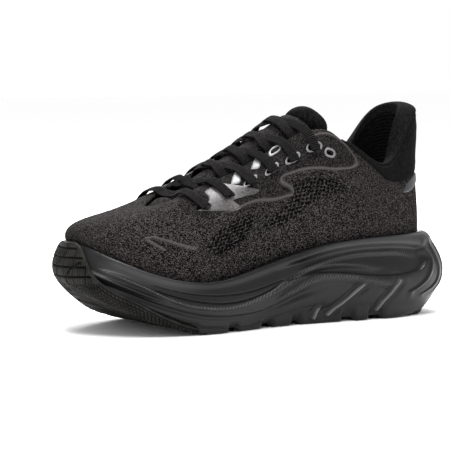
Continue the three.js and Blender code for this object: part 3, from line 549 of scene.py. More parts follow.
edge_taper = 0.55 + 0.45 * ease(0.0, 2.2, toe_down)
toe_cut = tread(toe_round, toe_down, toe_base[..., 2]) * ease(0.4, 1.6, toe_down)
toe_height = GAP + TREAD * edge_taper - toe_cut
toe_height = toe_height + 0.9 * hump(toe_down - 1.5, 1.1)
toe_outer = toe_base + toe_normal * toe_height[..., None]
toe_inner = (toe_base + toe_normal * GAP)[:, ::12]
toe_points = np.concatenate([toe_outer, toe_inner[:, ::-1]], 1)
toe_rows_mm = np.concatenate([np.linspace(90, 0, TOE_ROWS), np.linspace(0, 90, toe_inner.shape[1] + 1)])

# Moulded carbon rubber: near black, dry and slightly warm, dusty in patches, with painted shade in its
# grooves.
rubber_material, shader = new_material("moulded_carbon_rubber", "#0d0c0b", 0.6, Specular_IOR_Level=0.14)
place = add_node(rubber_material, "TexCoord").outputs["Object"]
grain = add_node(rubber_material, "TexNoise", {"Vector": place, "Scale": 900.0, "Detail": 4.0})
wear = add_node(rubber_material, "TexNoise", {"Vector": place, "Scale": 120.0, "Detail": 3.0})
dust = add_node(rubber_material, "MapRange", {
    "Value": wear.outputs["Fac"], "From Min": 0.35, "From Max": 0.7})
tint = add_node(rubber_material, "Mix", {
    "Factor": dust.outputs[0], "A": linear("#0a0a09"), "B": linear("#22201d")}, data_type="RGBA")
# Painted shade: the grooves are mixed near black, as shade falls in them; the "cut" attribute is their
# depth, full at 1 mm.
groove_shade_depth = add_node(rubber_material, "Attribute", attribute_name="cut").outputs["Fac"]
shadowed = add_node(rubber_material, "Mix", {
    "Factor": groove_shade_depth, "A": tint.outputs[2], "B": linear("#010101")}, data_type="RGBA")
link_surface(rubber_material, shader, shadowed.outputs[2], grain.outputs["Fac"], 0.35, 0.0003)

# The groove depth, which sets the painted shade in the grooves.
groove_shade_share = np.pad(np.clip(toe_cut, 0, 1), [(0, 0), (0, toe_inner.shape[1])])
toe_rubber = grid_piece("toe_rubber", toe_points, rubber_material, wraps=(False, True), caps=True,
                        uv=all_pairs(toe_round[:, 0], toe_rows_mm), fields={"cut": groove_shade_share})
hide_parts("outsole_toe")

# ---- outsole pads --------------------------------------------------------------------------------
# Seven rubber pads glued under the foam where the foot lands and pushes off, each with cross grooves.
PADS = {
    "outsole_heel_medial": ((0.05, 0.165), (-0.97, -0.28)),
    "outsole_heel_lateral": ((0.05, 0.165), (0.28, 0.97)),
    "outsole_heel_centre": ((0.06, 0.12), (-0.2, 0.2)),
    "outsole_midfoot_lateral": ((0.2, 0.262), (0.3, 0.97)),
    "outsole_forefoot_lateral": ((0.272, 0.345), (0.3, 0.97)),
    "outsole_forefoot_medial": ((0.29, 0.345), (-0.97, -0.3)),
    "outsole_ball": ((0.29, 0.345), (-0.22, 0.22)),
}


def tread_pad(t_range, w_range):
    """A slab under the foam, TREAD thick, its corners rounded off, cut by slanting grooves."""
    a, b = np.meshgrid(np.linspace(0, 1, 110), np.linspace(0, 1, 60), indexing="ij")
    round_off = 0.06 * (np.abs(2 * b - 1) ** 6) * np.sign(0.5 - a) * (np.abs(2 * a - 1) ** 4)
    t = t_range[0] + (t_range[1] - t_range[0]) * (a + round_off)
    w = w_range[0] + (w_range[1] - w_range[0]) * b
    top = underside(t, w)
    along_mm = t * WALL_SCALE[0]
    across_mm = top[..., 1]
    rim = ease(0, 0.03, np.minimum(a, 1 - a)) * ease(0, 0.04, np.minimum(b, 1 - b))
    cut_depth = 1.5 * groove(along_mm + 0.35 * across_mm, 9.0, 0.9) + 0.4 * groove(across_mm, 2.2, 0.4)
    thick = 0.9 + (TREAD - 0.9) * (rim * 0.6 + 0.4) - np.minimum(cut_depth, 1.5) * rim
    bottom = top - [0, 0, 1] * (GAP + thick)[..., None]
    return np.concatenate([bottom, (top - [0, 0, GAP])[:, ::-6]], 1)


for pad_name, (t_range, w_range) in PADS.items():
    pad_piece = grid_piece(pad_name.replace("outsole", "tread_pad"), tread_pad(t_range, w_range),
                           rubber_material, wraps=(False, True), caps=True)
    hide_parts(pad_name)

# ---- strobel board and sockliner -----------------------------------------------------------------
# The upper is stitched round a non-woven board; a soft moulded insole with a knitted top lies on it.
BOARD = 1.8
INSOLE = 5
REST_INSETS = (6.2, 10.5)


def rest_inset(t):
    """How far the insole's edge stands in from the feather line: more round the heel."""
    return REST_INSETS[0] + (REST_INSETS[1] - REST_INSETS[0]) * ease(0.33, 0.22, half_round(t))


def sock_rim(t, lift):
    """Edge of the insole's top, raised by lift."""
    return footbed(t, rest_inset(t), BOARD + 2 * GAP + INSOLE + lift)


sock_t = np.arange(360) / 360
sock_low, sock_high = sock_rim(sock_t, -INSOLE), sock_rim(sock_t, -0.8)
sock_top = footbed(sock_t, rest_inset(sock_t) + 0.8, BOARD + 2 * GAP + INSOLE)
sock_mirror = np.roll(sock_top[::-1], 1, 0)
low_mirror = np.roll(sock_low[::-1], 1, 0)
rings = [low_mirror * k + sock_low * (1 - k) for k in (0.5, 0.25, 0.05)] + [sock_low, sock_high, sock_top]
for k in (0.04, 0.1, 0.2, 0.35, 0.5):
    rings.append(sock_mirror * k + sock_top * (1 - k) - np.array([0, 0, 1.2]) * ease(0, 0.3, k))
# Knitted polyester over foam: soft, dark, with fine ribs about 2 mm apart.
sock_material, shader = new_material("knitted_insole_cover", "#080809", 0.95, Specular_IOR_Level=0.05)
place = add_node(sock_material, "TexCoord").outputs["Object"]
rib = add_node(sock_material, "TexWave", {"Vector": place, "Scale": 160.0, "Distortion": 1.0},
               bands_direction="Y")
fuzz = add_node(sock_material, "TexNoise", {"Vector": place, "Scale": 1500.0})
height = add_node(sock_material, "Math", {0: rib.outputs["Fac"], 1: fuzz.outputs["Fac"]}, operation="ADD")
link_surface(sock_material, shader, None, height.outputs[0], 0.4, 0.0004)
insole = grid_piece("insole", np.stack(rings, 1), sock_material, wraps=(True, False))
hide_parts("sockliner")



def grained(name, colour, roughness, kind, texture, output, strength, distance, **sockets):
    """A material of one colour, roughened by one texture laid out in the object's own metres."""
    material, shader = new_material(name, colour, roughness, **sockets)
    place = add_node(material, "TexCoord").outputs["Object"]
    grain = add_node(material, kind, {"Vector": place, **texture})
    link_surface(material, shader, None, grain.outputs[output], strength, distance)
    return material


def refinish(node_name, material):
    """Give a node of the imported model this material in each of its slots."""
    for slot in bpy.data.objects[node_name].material_slots:
        slot.material = material


# Needle-punched board: pale grey felt with loose fibres.
refinish("strobel_board", grained(
    "needled_board", "#8c8a84", 0.95, "TexNoise", {"Scale": 1200.0, "Detail": 6.0}, "Fac", 0.5, 0.0004))

# ---- knit upper ----------------------------------------------------------------------------------
# One piece of jacquard knit in black and grey melange polyester, lasted over the foot and glued into the
# sole. Looser, open stitches ventilate the side; films are bonded on round the eyelets.
KNIT = 2.2
LOW_RAIL = closed_spline(np.array([
    [18, 0, 84], [22, -18, 84], [35, -34, 82], [66, -42, 80], [100, -44, 80], [138, -44, 78],
    [176, -47, 70], [216, -52, 60], [254, -46, 58], [288, -28, 70], [299, -3, 73], [288, 24, 70],
    [260, 43, 58], [224, 54, 58], [186, 56, 67], [148, 51, 74], [108, 46, 78], [68, 43, 80],
    [35, 35, 82], [22, 18, 84]]))
HIGH_RAIL = closed_spline(np.array([
    [23, 0, 112], [28, -16, 112], [42, -28, 106], [66, -36, 94], [96, -42, 102], [124, -42, 112],
    [152, -40, 107], [186, -41, 93], [222, -34, 83], [256, -18, 76], [269, -1, 76], [259, 18, 76],
    [226, 37, 82], [190, 43, 91], [156, 41, 104], [126, 42, 110], [98, 42, 101], [67, 37, 94],
    [42, 28, 106], [28, 16, 112]]))
TOPLINE_RAIL = closed_spline(np.array([
    [19, 0, 142], [24, -17, 140], [38, -28, 129], [60, -33, 104], [88, -33, 118], [112, -27, 132],
    [142, -20, 120], [170, -17, 105], [197, -14.5, 94], [217, -9, 84], [224, 0, 81], [217, 9, 84],
    [197, 15, 94], [171, 18, 105], [143, 21, 119], [113, 28, 131], [89, 34, 117], [61, 34, 104],
    [38, 28, 129], [24, 17, 140]]))
UPPER_SCALE = np.array([620.0, 100.0])   # millimetres per turn and per height of the upper
EDGE = 0.95
COLLAR_END = 13 / 60
# Lace slots from the toe up, as (distance round from the heel, height up the upper).
EYELET_AT = [(0.377, 0.66), (0.355, 0.7), (0.329, 0.72), (0.303, 0.72), (0.278, 0.73), (0.253, 0.785),
             (0.2315, 0.755)]


def upper(t, v):
    """Outer face of the upper: a cubic Bezier from the feather line (v 0) to the topline (v 1)."""
    v = v[..., None]
    return along(FEATHER_RAIL, t) * (1 - v) ** 3 + along(LOW_RAIL, t) * 3 * (1 - v) ** 2 * v \
        + along(HIGH_RAIL, t) * 3 * (1 - v) * v ** 2 + along(TOPLINE_RAIL, t) * v ** 3


def upper_normal(t, v):
    """Outward unit normal of the upper at (t, v), from small steps either way."""
    step = 0.002
    across_v = upper(t, np.minimum(v + step, 1)) - upper(t, np.maximum(v - step, 0))
    across_t = upper(t + step, v) - upper(t - step, v)
    return unit(np.cross(across_v, across_t))


def off_upper(t, v, d):
    """Point of the upper moved d millimetres outward."""
    t, v, d = np.broadcast_arrays(np.asarray(t, float), np.asarray(v, float), np.asarray(d, float))
    return upper(t, v) + upper_normal(t, v) * d[..., None]


def smooth_line(points, k, power=0.25):
    """Catmull-Rom curve through points at k from 0 to 1; power 0.25 spaces it by the root of the chords."""
    points = np.asarray(points, float)
    padded = np.vstack([2 * points[0] - points[1], points, 2 * points[-1] - points[-2]])
    position = np.asarray(k, float) * (len(points) - 1)
    i = np.clip(np.floor(position).astype(int), 0, len(points) - 2)
    f = (position - i)[..., None]
    p0, p1, p2, p3 = (padded[i + n] for n in range(4))
    d0, d1, d2 = (np.maximum(((b - a) ** 2).sum(-1)[..., None] ** power, 1e-4)
                  for a, b in ((p0, p1), (p1, p2), (p2, p3)))
    m1 = ((p1 - p0) / d0 - (p2 - p0) / (d0 + d1) + (p2 - p1) / d1) * d1
    m2 = ((p2 - p1) / d1 - (p3 - p1) / (d1 + d2) + (p3 - p2) / d2) * d1
    return p1 + m1 * f + (3 * (p2 - p1) - 2 * m1 - m2) * f ** 2 + (2 * (p1 - p2) + m1 + m2) * f ** 3


# Shapes knitted into the upper, by the same two measures: the printed overlay, raised lines near the toe,
# a crease at the ankle, and patches of open stitches.
OVERLAY = [(0.263, 0.867), (0.239, 0.914), (0.207, 0.897), (0.194, 0.815), (0.2, 0.72), (0.221, 0.636),
           (0.245, 0.618), (0.269, 0.613), (0.287, 0.605), (0.284, 0.56), (0.272, 0.505), (0.266, 0.449),
           (0.275, 0.447), (0.29, 0.458), (0.316, 0.517), (0.345, 0.53), (0.385, 0.6), (0.405, 0.72),
           (0.415, 0.96), (0.34, 1.05), (0.28, 1.0)]
ACCENTS = [[(0.414, 0.372), (0.409, 0.392), (0.4, 0.374), (0.39, 0.352), (0.378, 0.32), (0.366, 0.289)],
           [(0.412, 0.352), (0.404, 0.318), (0.395, 0.283)]]
CREASE = [(0.182, 0.297), (0.198, 0.2), (0.219, 0.122)]
OPEN_ZONES = [[(0.272, 0.545), (0.21, 0.552), (0.2, 0.47), (0.235, 0.36), (0.262, 0.24), (0.298, 0.28),
               (0.27, 0.42)],
              [(0.35, 0.42), (0.325, 0.45), (0.308, 0.42), (0.303, 0.33), (0.312, 0.23), (0.338, 0.19),
               (0.357, 0.28)]]
LINE_RISE = 0.9


def inside(a, b, line):
    """True where (a, b) lies inside a closed line, by counting its crossings to one side."""
    p = np.array(line)
    result = np.zeros(a.shape, bool)
    for (a0, b0), (a1, b1) in zip(p, np.roll(p, -1, 0)):
        crosses = ((b0 > b) != (b1 > b)) & (a < (a1 - a0) * (b - b0) / (b1 - b0 + 1e-12) + a0)
        result ^= crosses
    return result


def rounded(line, count=90):
    """The closed line with its corners rounded: a smooth curve through its points."""
    p = np.array(line + line[:1], float) * UPPER_SCALE
    return smooth_line(p, np.linspace(0, 1, count)) / UPPER_SCALE


UPPER_COLUMNS = 820
UPPER_ROWS = 106
upper_t, upper_k = np.meshgrid(np.arange(UPPER_COLUMNS) / UPPER_COLUMNS, np.linspace(0, 1, UPPER_ROWS),
                               indexing="ij")
knit_top = 0.93 + (EDGE - 0.93) * ease(COLLAR_END, COLLAR_END + 0.02, half_round(upper_t))
upper_v = upper_k * knit_top
upper_s = half_round(upper_t)
overlay_line = rounded(OVERLAY)
overlay_away = strip_distance(upper_s, upper_v, overlay_line, UPPER_SCALE)
overlay_in = inside(upper_s, upper_v, overlay_line).astype(float)
visible_line = hump(overlay_away, 0.9) * ease(0.36, 0.33, upper_s)
for line in ACCENTS:
    visible_line = np.maximum(visible_line, hump(strip_distance(upper_s, upper_v, line, UPPER_SCALE), 0.8))
knit_relief = LINE_RISE * visible_line + 0.25 * overlay_in
knit_relief = knit_relief - 0.7 * hump(strip_distance(upper_s, upper_v, CREASE, UPPER_SCALE), 1.2)
open_share = np.zeros(upper_t.shape)
for zone in OPEN_ZONES:
    zone_line = rounded(zone)
    inner_depth = strip_distance(upper_s, upper_v, zone_line, UPPER_SCALE) \
        * inside(upper_s, upper_v, zone_line)
    open_share = np.maximum(open_share, ease(0, 3, inner_depth))
# Eyelet slots: the knit is sunk there and painted near black, as the shade inside an open slot.
painted_slot_shade = np.zeros(upper_t.shape)
for a, b in EYELET_AT:
    half, wide = (0.7, 1.3) if a < 0.24 else (1.9, 2.4)
    reach = np.hypot(np.maximum(np.abs(upper_s - a) * UPPER_SCALE[0] - half, 0),
                     (upper_v - b) * UPPER_SCALE[1])
    painted_slot_shade = np.maximum(painted_slot_shade, ease(wide + 0.5, wide - 0.3, reach))
knit_relief = knit_relief - 1.5 * painted_slot_shade
stitch_u = upper_t * UPPER_SCALE[0]
stitch_v = upper_v * UPPER_SCALE[1]
HOLE_PITCH = 2.9
holes = np.sin(stitch_u * math.pi / HOLE_PITCH) * np.sin(stitch_v * math.pi / HOLE_PITCH * 1.15)
knit_relief = knit_relief - 0.35 * open_share * ease(0.25, 0.6, np.abs(holes))
# The knit tucks in where it meets the foam.
knit_relief = knit_relief - 0.5 * ease(0.035, 0.0, upper_v)
knit_outer = off_upper(upper_t, upper_v, knit_relief)
knit_inner = off_upper(upper_t, upper_v, -KNIT)[:, ::15]
knit_points = np.concatenate([knit_outer, knit_inner[:, ::-1]], 1)


knit_mm = np.concatenate([np.linspace(0, EDGE * UPPER_SCALE[1], UPPER_ROWS),
                          np.linspace(EDGE * UPPER_SCALE[1], 0, knit_inner.shape[1] + 1)])
knit_fields = {"overlay": overlay_in, "open_knit": open_share, "painted_slot_shade": painted_slot_shade,
               "raised_line": visible_line}
for field_name, field in knit_fields.items():
    knit_fields[field_name] = np.pad(field, [(0, 0), (0, knit_inner.shape[1])])


def stitched(name, dark, light, balance, scale, randomness, strength, distance):
    """Knitted cloth, each stitch of a dark or a light yarn at random; scale is stitches per millimetre."""
    material, shader = new_material(name, dark, 0.9, Specular_IOR_Level=0.03)
    place_mm = add_node(material, "UVMap", uv_map="surface_mm").outputs["UV"]
    stitch = add_node(material, "TexVoronoi", {
        "Vector": place_mm, "Scale": scale, "Randomness": randomness})
    yarn = add_node(material, "SeparateColor", {"Color": stitch.outputs["Color"]})
    shade = add_node(material, "MapRange", {
        "Value": yarn.outputs[0], "From Min": balance, "From Max": 1.0})
    colour = add_node(material, "Mix", {
        "Factor": shade.outputs[0], "A": linear(dark), "B": linear(light)}, data_type="RGBA")
    rise = add_node(material, "Math", {0: stitch.outputs["Distance"], 1: -1.0}, operation="MULTIPLY")
    link_surface(material, shader, colour.outputs[2], rise.outputs[0], strength, distance)
    return material, shader, colour, place_mm


# Melange jacquard: loose uneven stitches about half a millimetre apart, about the real gauge.
MELANGE = {"scale": 2.1, "randomness": 0.9, "strength": 0.7, "distance": 0.0005}
knit_material, shader, knit_colour, place_mm = stitched(
    "melange_jacquard_knit", "#050405", "#4d4948", 0.52, **MELANGE)
overlay_value, open_value, slot_shade_value, line_value = (
    add_node(knit_material, "Attribute", attribute_name=key).outputs["Fac"] for key in knit_fields)
# Open stitches: gaps 2.5 to 3 mm apart, uneven as the yarns pull, painted near black for the dark lining
# and the shade seen through them.
gap_cells = add_node(knit_material, "TexVoronoi", {"Vector": place_mm, "Scale": 0.36, "Randomness": 0.3})
gaps = add_node(knit_material, "MapRange", {
    "Value": gap_cells.outputs["Distance"], "From Min": 0.46, "From Max": 0.37})
open_gap_shade = add_node(knit_material, "Math", {0: gaps.outputs[0], 1: open_value}, operation="MULTIPLY")
gap_and_slot_shade = add_node(knit_material, "Math", {0: open_gap_shade.outputs[0], 1: slot_shade_value}, operation="MAXIMUM")
# The overlay is knitted in and printed over: a third darker than the rest. Its raised edge is pale.
overlay_share = add_node(knit_material, "Math", {0: overlay_value, 1: 0.35}, operation="MULTIPLY")
tinted = add_node(knit_material, "Mix", {
    "Factor": overlay_share.outputs[0], "A": knit_colour.outputs[2], "B": linear("#0b0a0b")},
    data_type="RGBA")
lined = add_node(knit_material, "Mix", {
    "Factor": line_value, "A": tinted.outputs[2], "B": linear("#4c4848")}, data_type="RGBA")
# Painted shade: the open-stitch gaps and the eyelet slots are mixed near black.
final = add_node(knit_material, "Mix", {
    "Factor": gap_and_slot_shade.outputs[0], "A": lined.outputs[2], "B": linear("#020202")}, data_type="RGBA")
link_surface(knit_material, shader, final.outputs[2])

knit_upper = grid_piece(
    "knitted_upper", knit_points, knit_material, wraps=(True, True), fields=knit_fields,
    uv=all_pairs(np.arange(UPPER_COLUMNS + 1) / UPPER_COLUMNS * UPPER_SCALE[0], knit_mm))
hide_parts("knit_upper")

# ---- stiffeners and foam inside the upper --------------------------------------------------------
# Moulded thermoplastic heel counter and toe puff, polyurethane foam in the collar and tape behind the
# eyelets. They lie between knit and lining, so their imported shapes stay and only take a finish.
puff_material = grained("moulded_thermoplastic_board", "#4a4a4a", 0.6, "TexNoise",
                        {"Scale": 300.0, "Detail": 3.0}, "Fac", 0.2, 0.0003)
sponge_material = grained("open_cell_polyurethane_foam", "#2b2b2b", 0.95, "TexVoronoi",
                          {"Scale": 1100.0}, "Distance", 0.6, 0.0005)
tape_material = grained("woven_nylon_tape", "#1e1e1e", 0.85, "TexWave",
                        {"Scale": 250.0, "Distortion": 0.5}, "Fac", 0.4, 0.0003)
for node_name, inner_material in {
        "heel_counter": puff_material, "toe_puff": puff_material, "collar_foam": sponge_material,
        "tongue_foam": sponge_material, "eyestay_backing_medial": tape_material,
        "eyestay_backing_lateral": tape_material}.items():
    refinish(node_name, inner_material)

# ---- films and eyelets ---------------------------------------------------------------------------
# Heat-bonded polyurethane film: a two-lobed patch round the first two eyelets, slot rings on the others,
# and tabs at the inner row. The patch is grey, the rings and tabs are silver.
SIDES = {"medial": 1, "lateral": -1}
FILM_LIFT = 0.45
# Outlines of the films, by the upper's two measures.
FILM_PATCH = [(0.382, 0.623), (0.359, 0.57), (0.335, 0.507), (0.331, 0.515), (0.338, 0.565),
              (0.344, 0.612), (0.33, 0.597), (0.317, 0.575), (0.313, 0.583), (0.318, 0.615),
              (0.334, 0.693), (0.352, 0.783), (0.362, 0.83), (0.372, 0.887), (0.38, 0.863), (0.386, 0.83),
              (0.378, 0.747), (0.375, 0.69), (0.377, 0.643)]
TABS = [[(0.355, 0.79), (0.343, 0.765), (0.3455, 0.86), (0.348, 0.94), (0.3525, 0.94), (0.3555, 0.87)],
        [(0.332, 0.85), (0.321, 0.81), (0.3195, 0.87), (0.3225, 0.955), (0.3275, 0.955), (0.331, 0.9)]]


def bonded(name, side, outline, centre, lift, thickness, material, count=150, rows=14, round_share=0.88):
    """A film cut to an outline on the upper: rays from its centre to its edge, flat with a rounded rim."""
    edge = rounded(outline, count + 1)[:-1]
    r = np.concatenate([np.linspace(0, round_share, rows), [0.93, 0.97, 0.99, 1.0]])
    share = r[None, :, None]
    place_tv = np.array(centre) * (1 - share) + edge[:, None, :] * share
    t = place_tv[..., 0] * SIDES[side]
    rim = np.sqrt(np.clip(1 - ((r - round_share) / (1 - round_share)).clip(0, 1) ** 2, 0, 1))[None, :]
    outer = off_upper(t, place_tv[..., 1], lift + thickness * rim)
    inner = off_upper(t, place_tv[..., 1], lift - 0.25)[:, ::-3]
    points = np.concatenate([outer, inner, inner[:, -1:] * 0 + inner[:, -1:].mean(0)], 1)
    return grid_piece(name, points, material, wraps=(True, False))


# Satin polyurethane film: mid grey with a fine brushed print, a soft sheen at low angles.
film_material, shader = new_material("bonded_grey_film", "#343232", 0.42, Specular_IOR_Level=0.3)
place = add_node(film_material, "TexCoord").outputs["Object"]
print_lines = add_node(film_material, "TexNoise", {"Vector": place, "Scale": 700.0, "Detail": 2.0})
cloud = add_node(film_material, "TexNoise", {"Vector": place, "Scale": 70.0, "Detail": 3.0})
both = add_node(film_material, "Math", {0: print_lines.outputs["Fac"], 1: cloud.outputs["Fac"]},
                operation="MULTIPLY")
span = add_node(film_material, "MapRange", {"Value": both.outputs[0], "From Min": 0.15, "From Max": 0.36})
tint = add_node(film_material, "Mix", {
    "Factor": span.outputs[0], "A": linear("#2a2929"), "B": linear("#545151")}, data_type="RGBA")
link_surface(film_material, shader, tint.outputs[2], print_lines.outputs["Fac"], 0.25, 0.0002)

# Pigmented silver film: light grey, slightly metallic, smooth.
silver_material, shader = new_material("silver_welded_film", "#5e5e5e", 0.42, Metallic=0.3)
place = add_node(silver_material, "TexCoord").outputs["Object"]
flake = add_node(silver_material, "TexNoise", {"Vector": place, "Scale": 1600.0, "Detail": 2.0})
tint = add_node(silver_material, "Mix", {
    "Factor": flake.outputs["Fac"], "A": linear("#565657"), "B": linear("#757576")}, data_type="RGBA")
link_surface(silver_material, shader, tint.outputs[2])

SLOT_LENGTH = 8.8
SLOT_WIDTH = 5
RING_BAND = 1.5


def slot_ring(name, side, centre, length, width, band, material):
    """A flat ring round a slot: a half-round band carried along an oval path that lies on the upper."""
    t0, v0 = centre
    t_ends, v_ends = np.array([t0 + 0.004, t0 - 0.004]), np.array([v0 + 0.01, v0 - 0.01])
    size_t = np.linalg.norm(np.subtract(*upper(t_ends, np.full(2, v0)))) / 0.008
    size_v = np.linalg.norm(np.subtract(*upper(np.full(2, t0), v_ends))) / 0.02
    angle = np.arange(72) / 72 * 2 * math.pi
    straight = (length - width) / 2
    push = np.sign(np.cos(angle)) * np.minimum(1, np.abs(np.cos(angle)) * 8)
    x = np.cos(angle) * (width + band) / 2 + straight * push
    y = np.sin(angle) * (width + band) / 2
    path = np.stack([x, y], -1)
    tangent = unit(np.roll(path, -1, 0) - np.roll(path, 1, 0))
    aside = np.stack([tangent[:, 1], -tangent[:, 0]], -1)
    turn = np.arange(12) / 12 * 2 * math.pi
    flat = path[:, None, :] + aside[:, None, :] * (np.cos(turn) * band / 2)[None, :, None]
    rise = GAP + 0.28 + np.sin(turn)[None, :] * 0.42 + 0 * flat[..., 0]
    points = off_upper((t0 + flat[..., 0] / size_t) * SIDES[side], v0 + flat[..., 1] / size_v, rise)
    return grid_piece(name, points, material, wraps=(True, True))


for side in SIDES:
    patch = bonded(f"film_patch_{side}_bonded", side, FILM_PATCH, (0.357, 0.675), GAP, FILM_LIFT,
                   film_material)
    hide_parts(f"film_patch_{side}")
    for row, centre in enumerate(EYELET_AT, 1):
        if row > 2:
            long, wide = (5.6, 3.6) if row == 7 else (SLOT_LENGTH, SLOT_WIDTH)
            ring = slot_ring(f"slot_ring_{side}_{row}", side, centre, long, wide, RING_BAND,
                             silver_material)
            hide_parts(f"eyelet_ring_{side}_{row}")
    for number, outline in enumerate(TABS, 1):
        middle = np.mean(outline, 0)
        tab = bonded(f"inner_tab_{side}_{number}", side, outline, middle, GAP, 0.5, silver_material,
                     count=60, rows=6, round_share=0.7)
    inner_ring = slot_ring(f"inner_ring_{side}", side, (0.302, 0.905), 7.0, 4.2, 2.2, silver_material)

# ---- heel badges ---------------------------------------------------------------------------------
# A plain rounded bar of soft moulded polyurethane welded on each side of the heel.
badge_material = grained("welded_soft_polyurethane", "#1d1e21", 0.38, "TexNoise", {"Scale": 900.0},
                         "Fac", 0.15, 0.0002, Specular_IOR_Level=0.4)
BADGE = [(0.07, 0.45), (0.085, 0.43), (0.112, 0.405), (0.121, 0.43), (0.114, 0.475), (0.088, 0.505),
         (0.072, 0.5)]
for side in SIDES:
    badge = bonded(f"plain_badge_{side}", side, BADGE, (0.095, 0.46), GAP, 0.7, badge_material,
                   count=90, rows=8, round_share=0.8)
    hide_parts(f"heel_badge_{side}")

# ---- collar --------------------------------------------------------------------------------------
# A padded collar: knitted lining inside, a smooth stretch cover rolled over the top edge and down the
# outside of the heel, foam between them. It is stitched to the knit along the cover's lower edge.
LINING = 1.3
# Lower edge of the stretch cover, by the same measures.
COVER_LOW = [(0.0, 0.62), (0.05, 0.56), (0.09, 0.528), (0.109, 0.53), (0.128, 0.567), (0.139, 0.64),
             (0.15, 0.73), (0.16, 0.84), (0.172, 0.915), (0.2, 0.935), (0.22, 0.94)]


COLLAR_COLUMNS = 330
LINING_ROWS = 90
THIN_EDGE = 3.4


def collar_taper(t):
    """1 along the collar, falling to 0 where it ends at the top eyelet."""
    return ease(0.2165, 0.203, half_round(t))


def collar_depth(t, v):
    """How far the lining stands in from the outer face: 7 mm, more at the ankle, thin at the ends."""
    padded_depth = 7.4 + 4.4 * ease(0.2, 0.1, half_round(t)) * ease(0.25, 0.6, v)
    return THIN_EDGE + (padded_depth - THIN_EDGE) * collar_taper(t)


collar_line = np.linspace(-COLLAR_END, COLLAR_END, COLLAR_COLUMNS)
lining_t, lining_v = np.meshgrid(collar_line, np.linspace(0.08, 0.95, LINING_ROWS), indexing="ij")
lining_depth = collar_depth(lining_t, lining_v)
swell = 0.45 * np.sin(lining_t * 2 * math.pi * 9) * np.sin(lining_v * 11) * ease(0.3, 0.6, lining_v)
lining_in = off_upper(lining_t, lining_v, -lining_depth - swell)
lining_out = off_upper(lining_t, lining_v, -lining_depth + LINING)
lining_points = np.concatenate([lining_in, lining_out[:, ::-6]], 1)
lining_mm = np.concatenate([np.linspace(0, 85, LINING_ROWS),
                            np.linspace(85, 0, lining_points.shape[1] - LINING_ROWS + 1)])
# Spacer knit: very dark, with raised oval cells about 2.6 mm apart.
lining_material, shader = new_material("spacer_knit_lining", "#040404", 0.95, Specular_IOR_Level=0.02)
place_mm = add_node(lining_material, "UVMap", uv_map="surface_mm").outputs["UV"]
cell = add_node(lining_material, "TexVoronoi", {"Vector": place_mm, "Scale": 0.4, "Randomness": 0.35})
cell_rise = add_node(lining_material, "MapRange", {
    "Value": cell.outputs["Distance"], "From Min": 0.55, "From Max": 0.1})
tint = add_node(lining_material, "Mix", {
    "Factor": cell_rise.outputs[0], "A": linear("#030303"), "B": linear("#1a1919")}, data_type="RGBA")
link_surface(lining_material, shader, tint.outputs[2], cell_rise.outputs[0], 0.8, 0.001)
lining = grid_piece("padded_collar_lining", lining_points, lining_material, wraps=(False, True), caps=True,
                    uv=all_pairs(collar_line * UPPER_SCALE[0], lining_mm))
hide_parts("collar_lining")

# The rolled edge: half an ellipse from the cover's face over the foam to the lining's, thin at its ends.
roll_end = ease(COLLAR_END, COLLAR_END - 0.014, half_round(collar_line))
rim_v = 0.945 + 0.055 * ease(COLLAR_END, COLLAR_END - 0.035, half_round(collar_line))
roll_lift = 0.1 + 0.8 * roll_end
edge_out = off_upper(collar_line, rim_v, roll_lift)
edge_in = off_upper(collar_line, rim_v, -collar_depth(collar_line, 1.0))
up_edge = unit(off_upper(collar_line, rim_v, 0.0) - off_upper(collar_line, rim_v - 0.03, 0.0))
roll_height = 0.3 + 0.9 * roll_end + 1.6 * collar_taper(collar_line)
roll_turn = np.linspace(0, math.pi, 22)[None, :]
roll_middle, roll_reach = (edge_out + edge_in) / 2, (edge_out - edge_in) / 2
roll = roll_middle[:, None] + roll_reach[:, None] * np.cos(roll_turn)[..., None] \
    + up_edge[:, None] * (roll_height[:, None] * np.sin(roll_turn))[..., None]
roll_t, roll_v = collar_line[:, None], rim_v[:, None]
out_side = off_upper(roll_t, 0.935 + (roll_v - 0.937) * np.linspace(0, 1, 6)[None, :], roll_lift[:, None])
in_side = off_upper(roll_t, roll_v + (0.925 - roll_v) * np.linspace(0.06, 1, 8)[None, :],
                    -collar_depth(roll_t, 0.95))
roll_points = np.concatenate([out_side, roll, in_side], 1)

# Fine stretch jersey: even small stitches, matt, with a few lighter yarns.
JERSEY = {"balance": 0.35, "randomness": 0.5, "strength": 0.35, "distance": 0.0003}
cover_material = stitched("stretch_jersey_cover", "#050505", "#1b1a1a", scale=1.7, **JERSEY)[0]
binding = grid_piece("collar_roll", roll_points, cover_material, wraps=(False, True), caps=True,
                     uv=all_pairs(collar_line * UPPER_SCALE[0],
                                  np.linspace(0, 26, roll_points.shape[1] + 1)))
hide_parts("collar_binding")

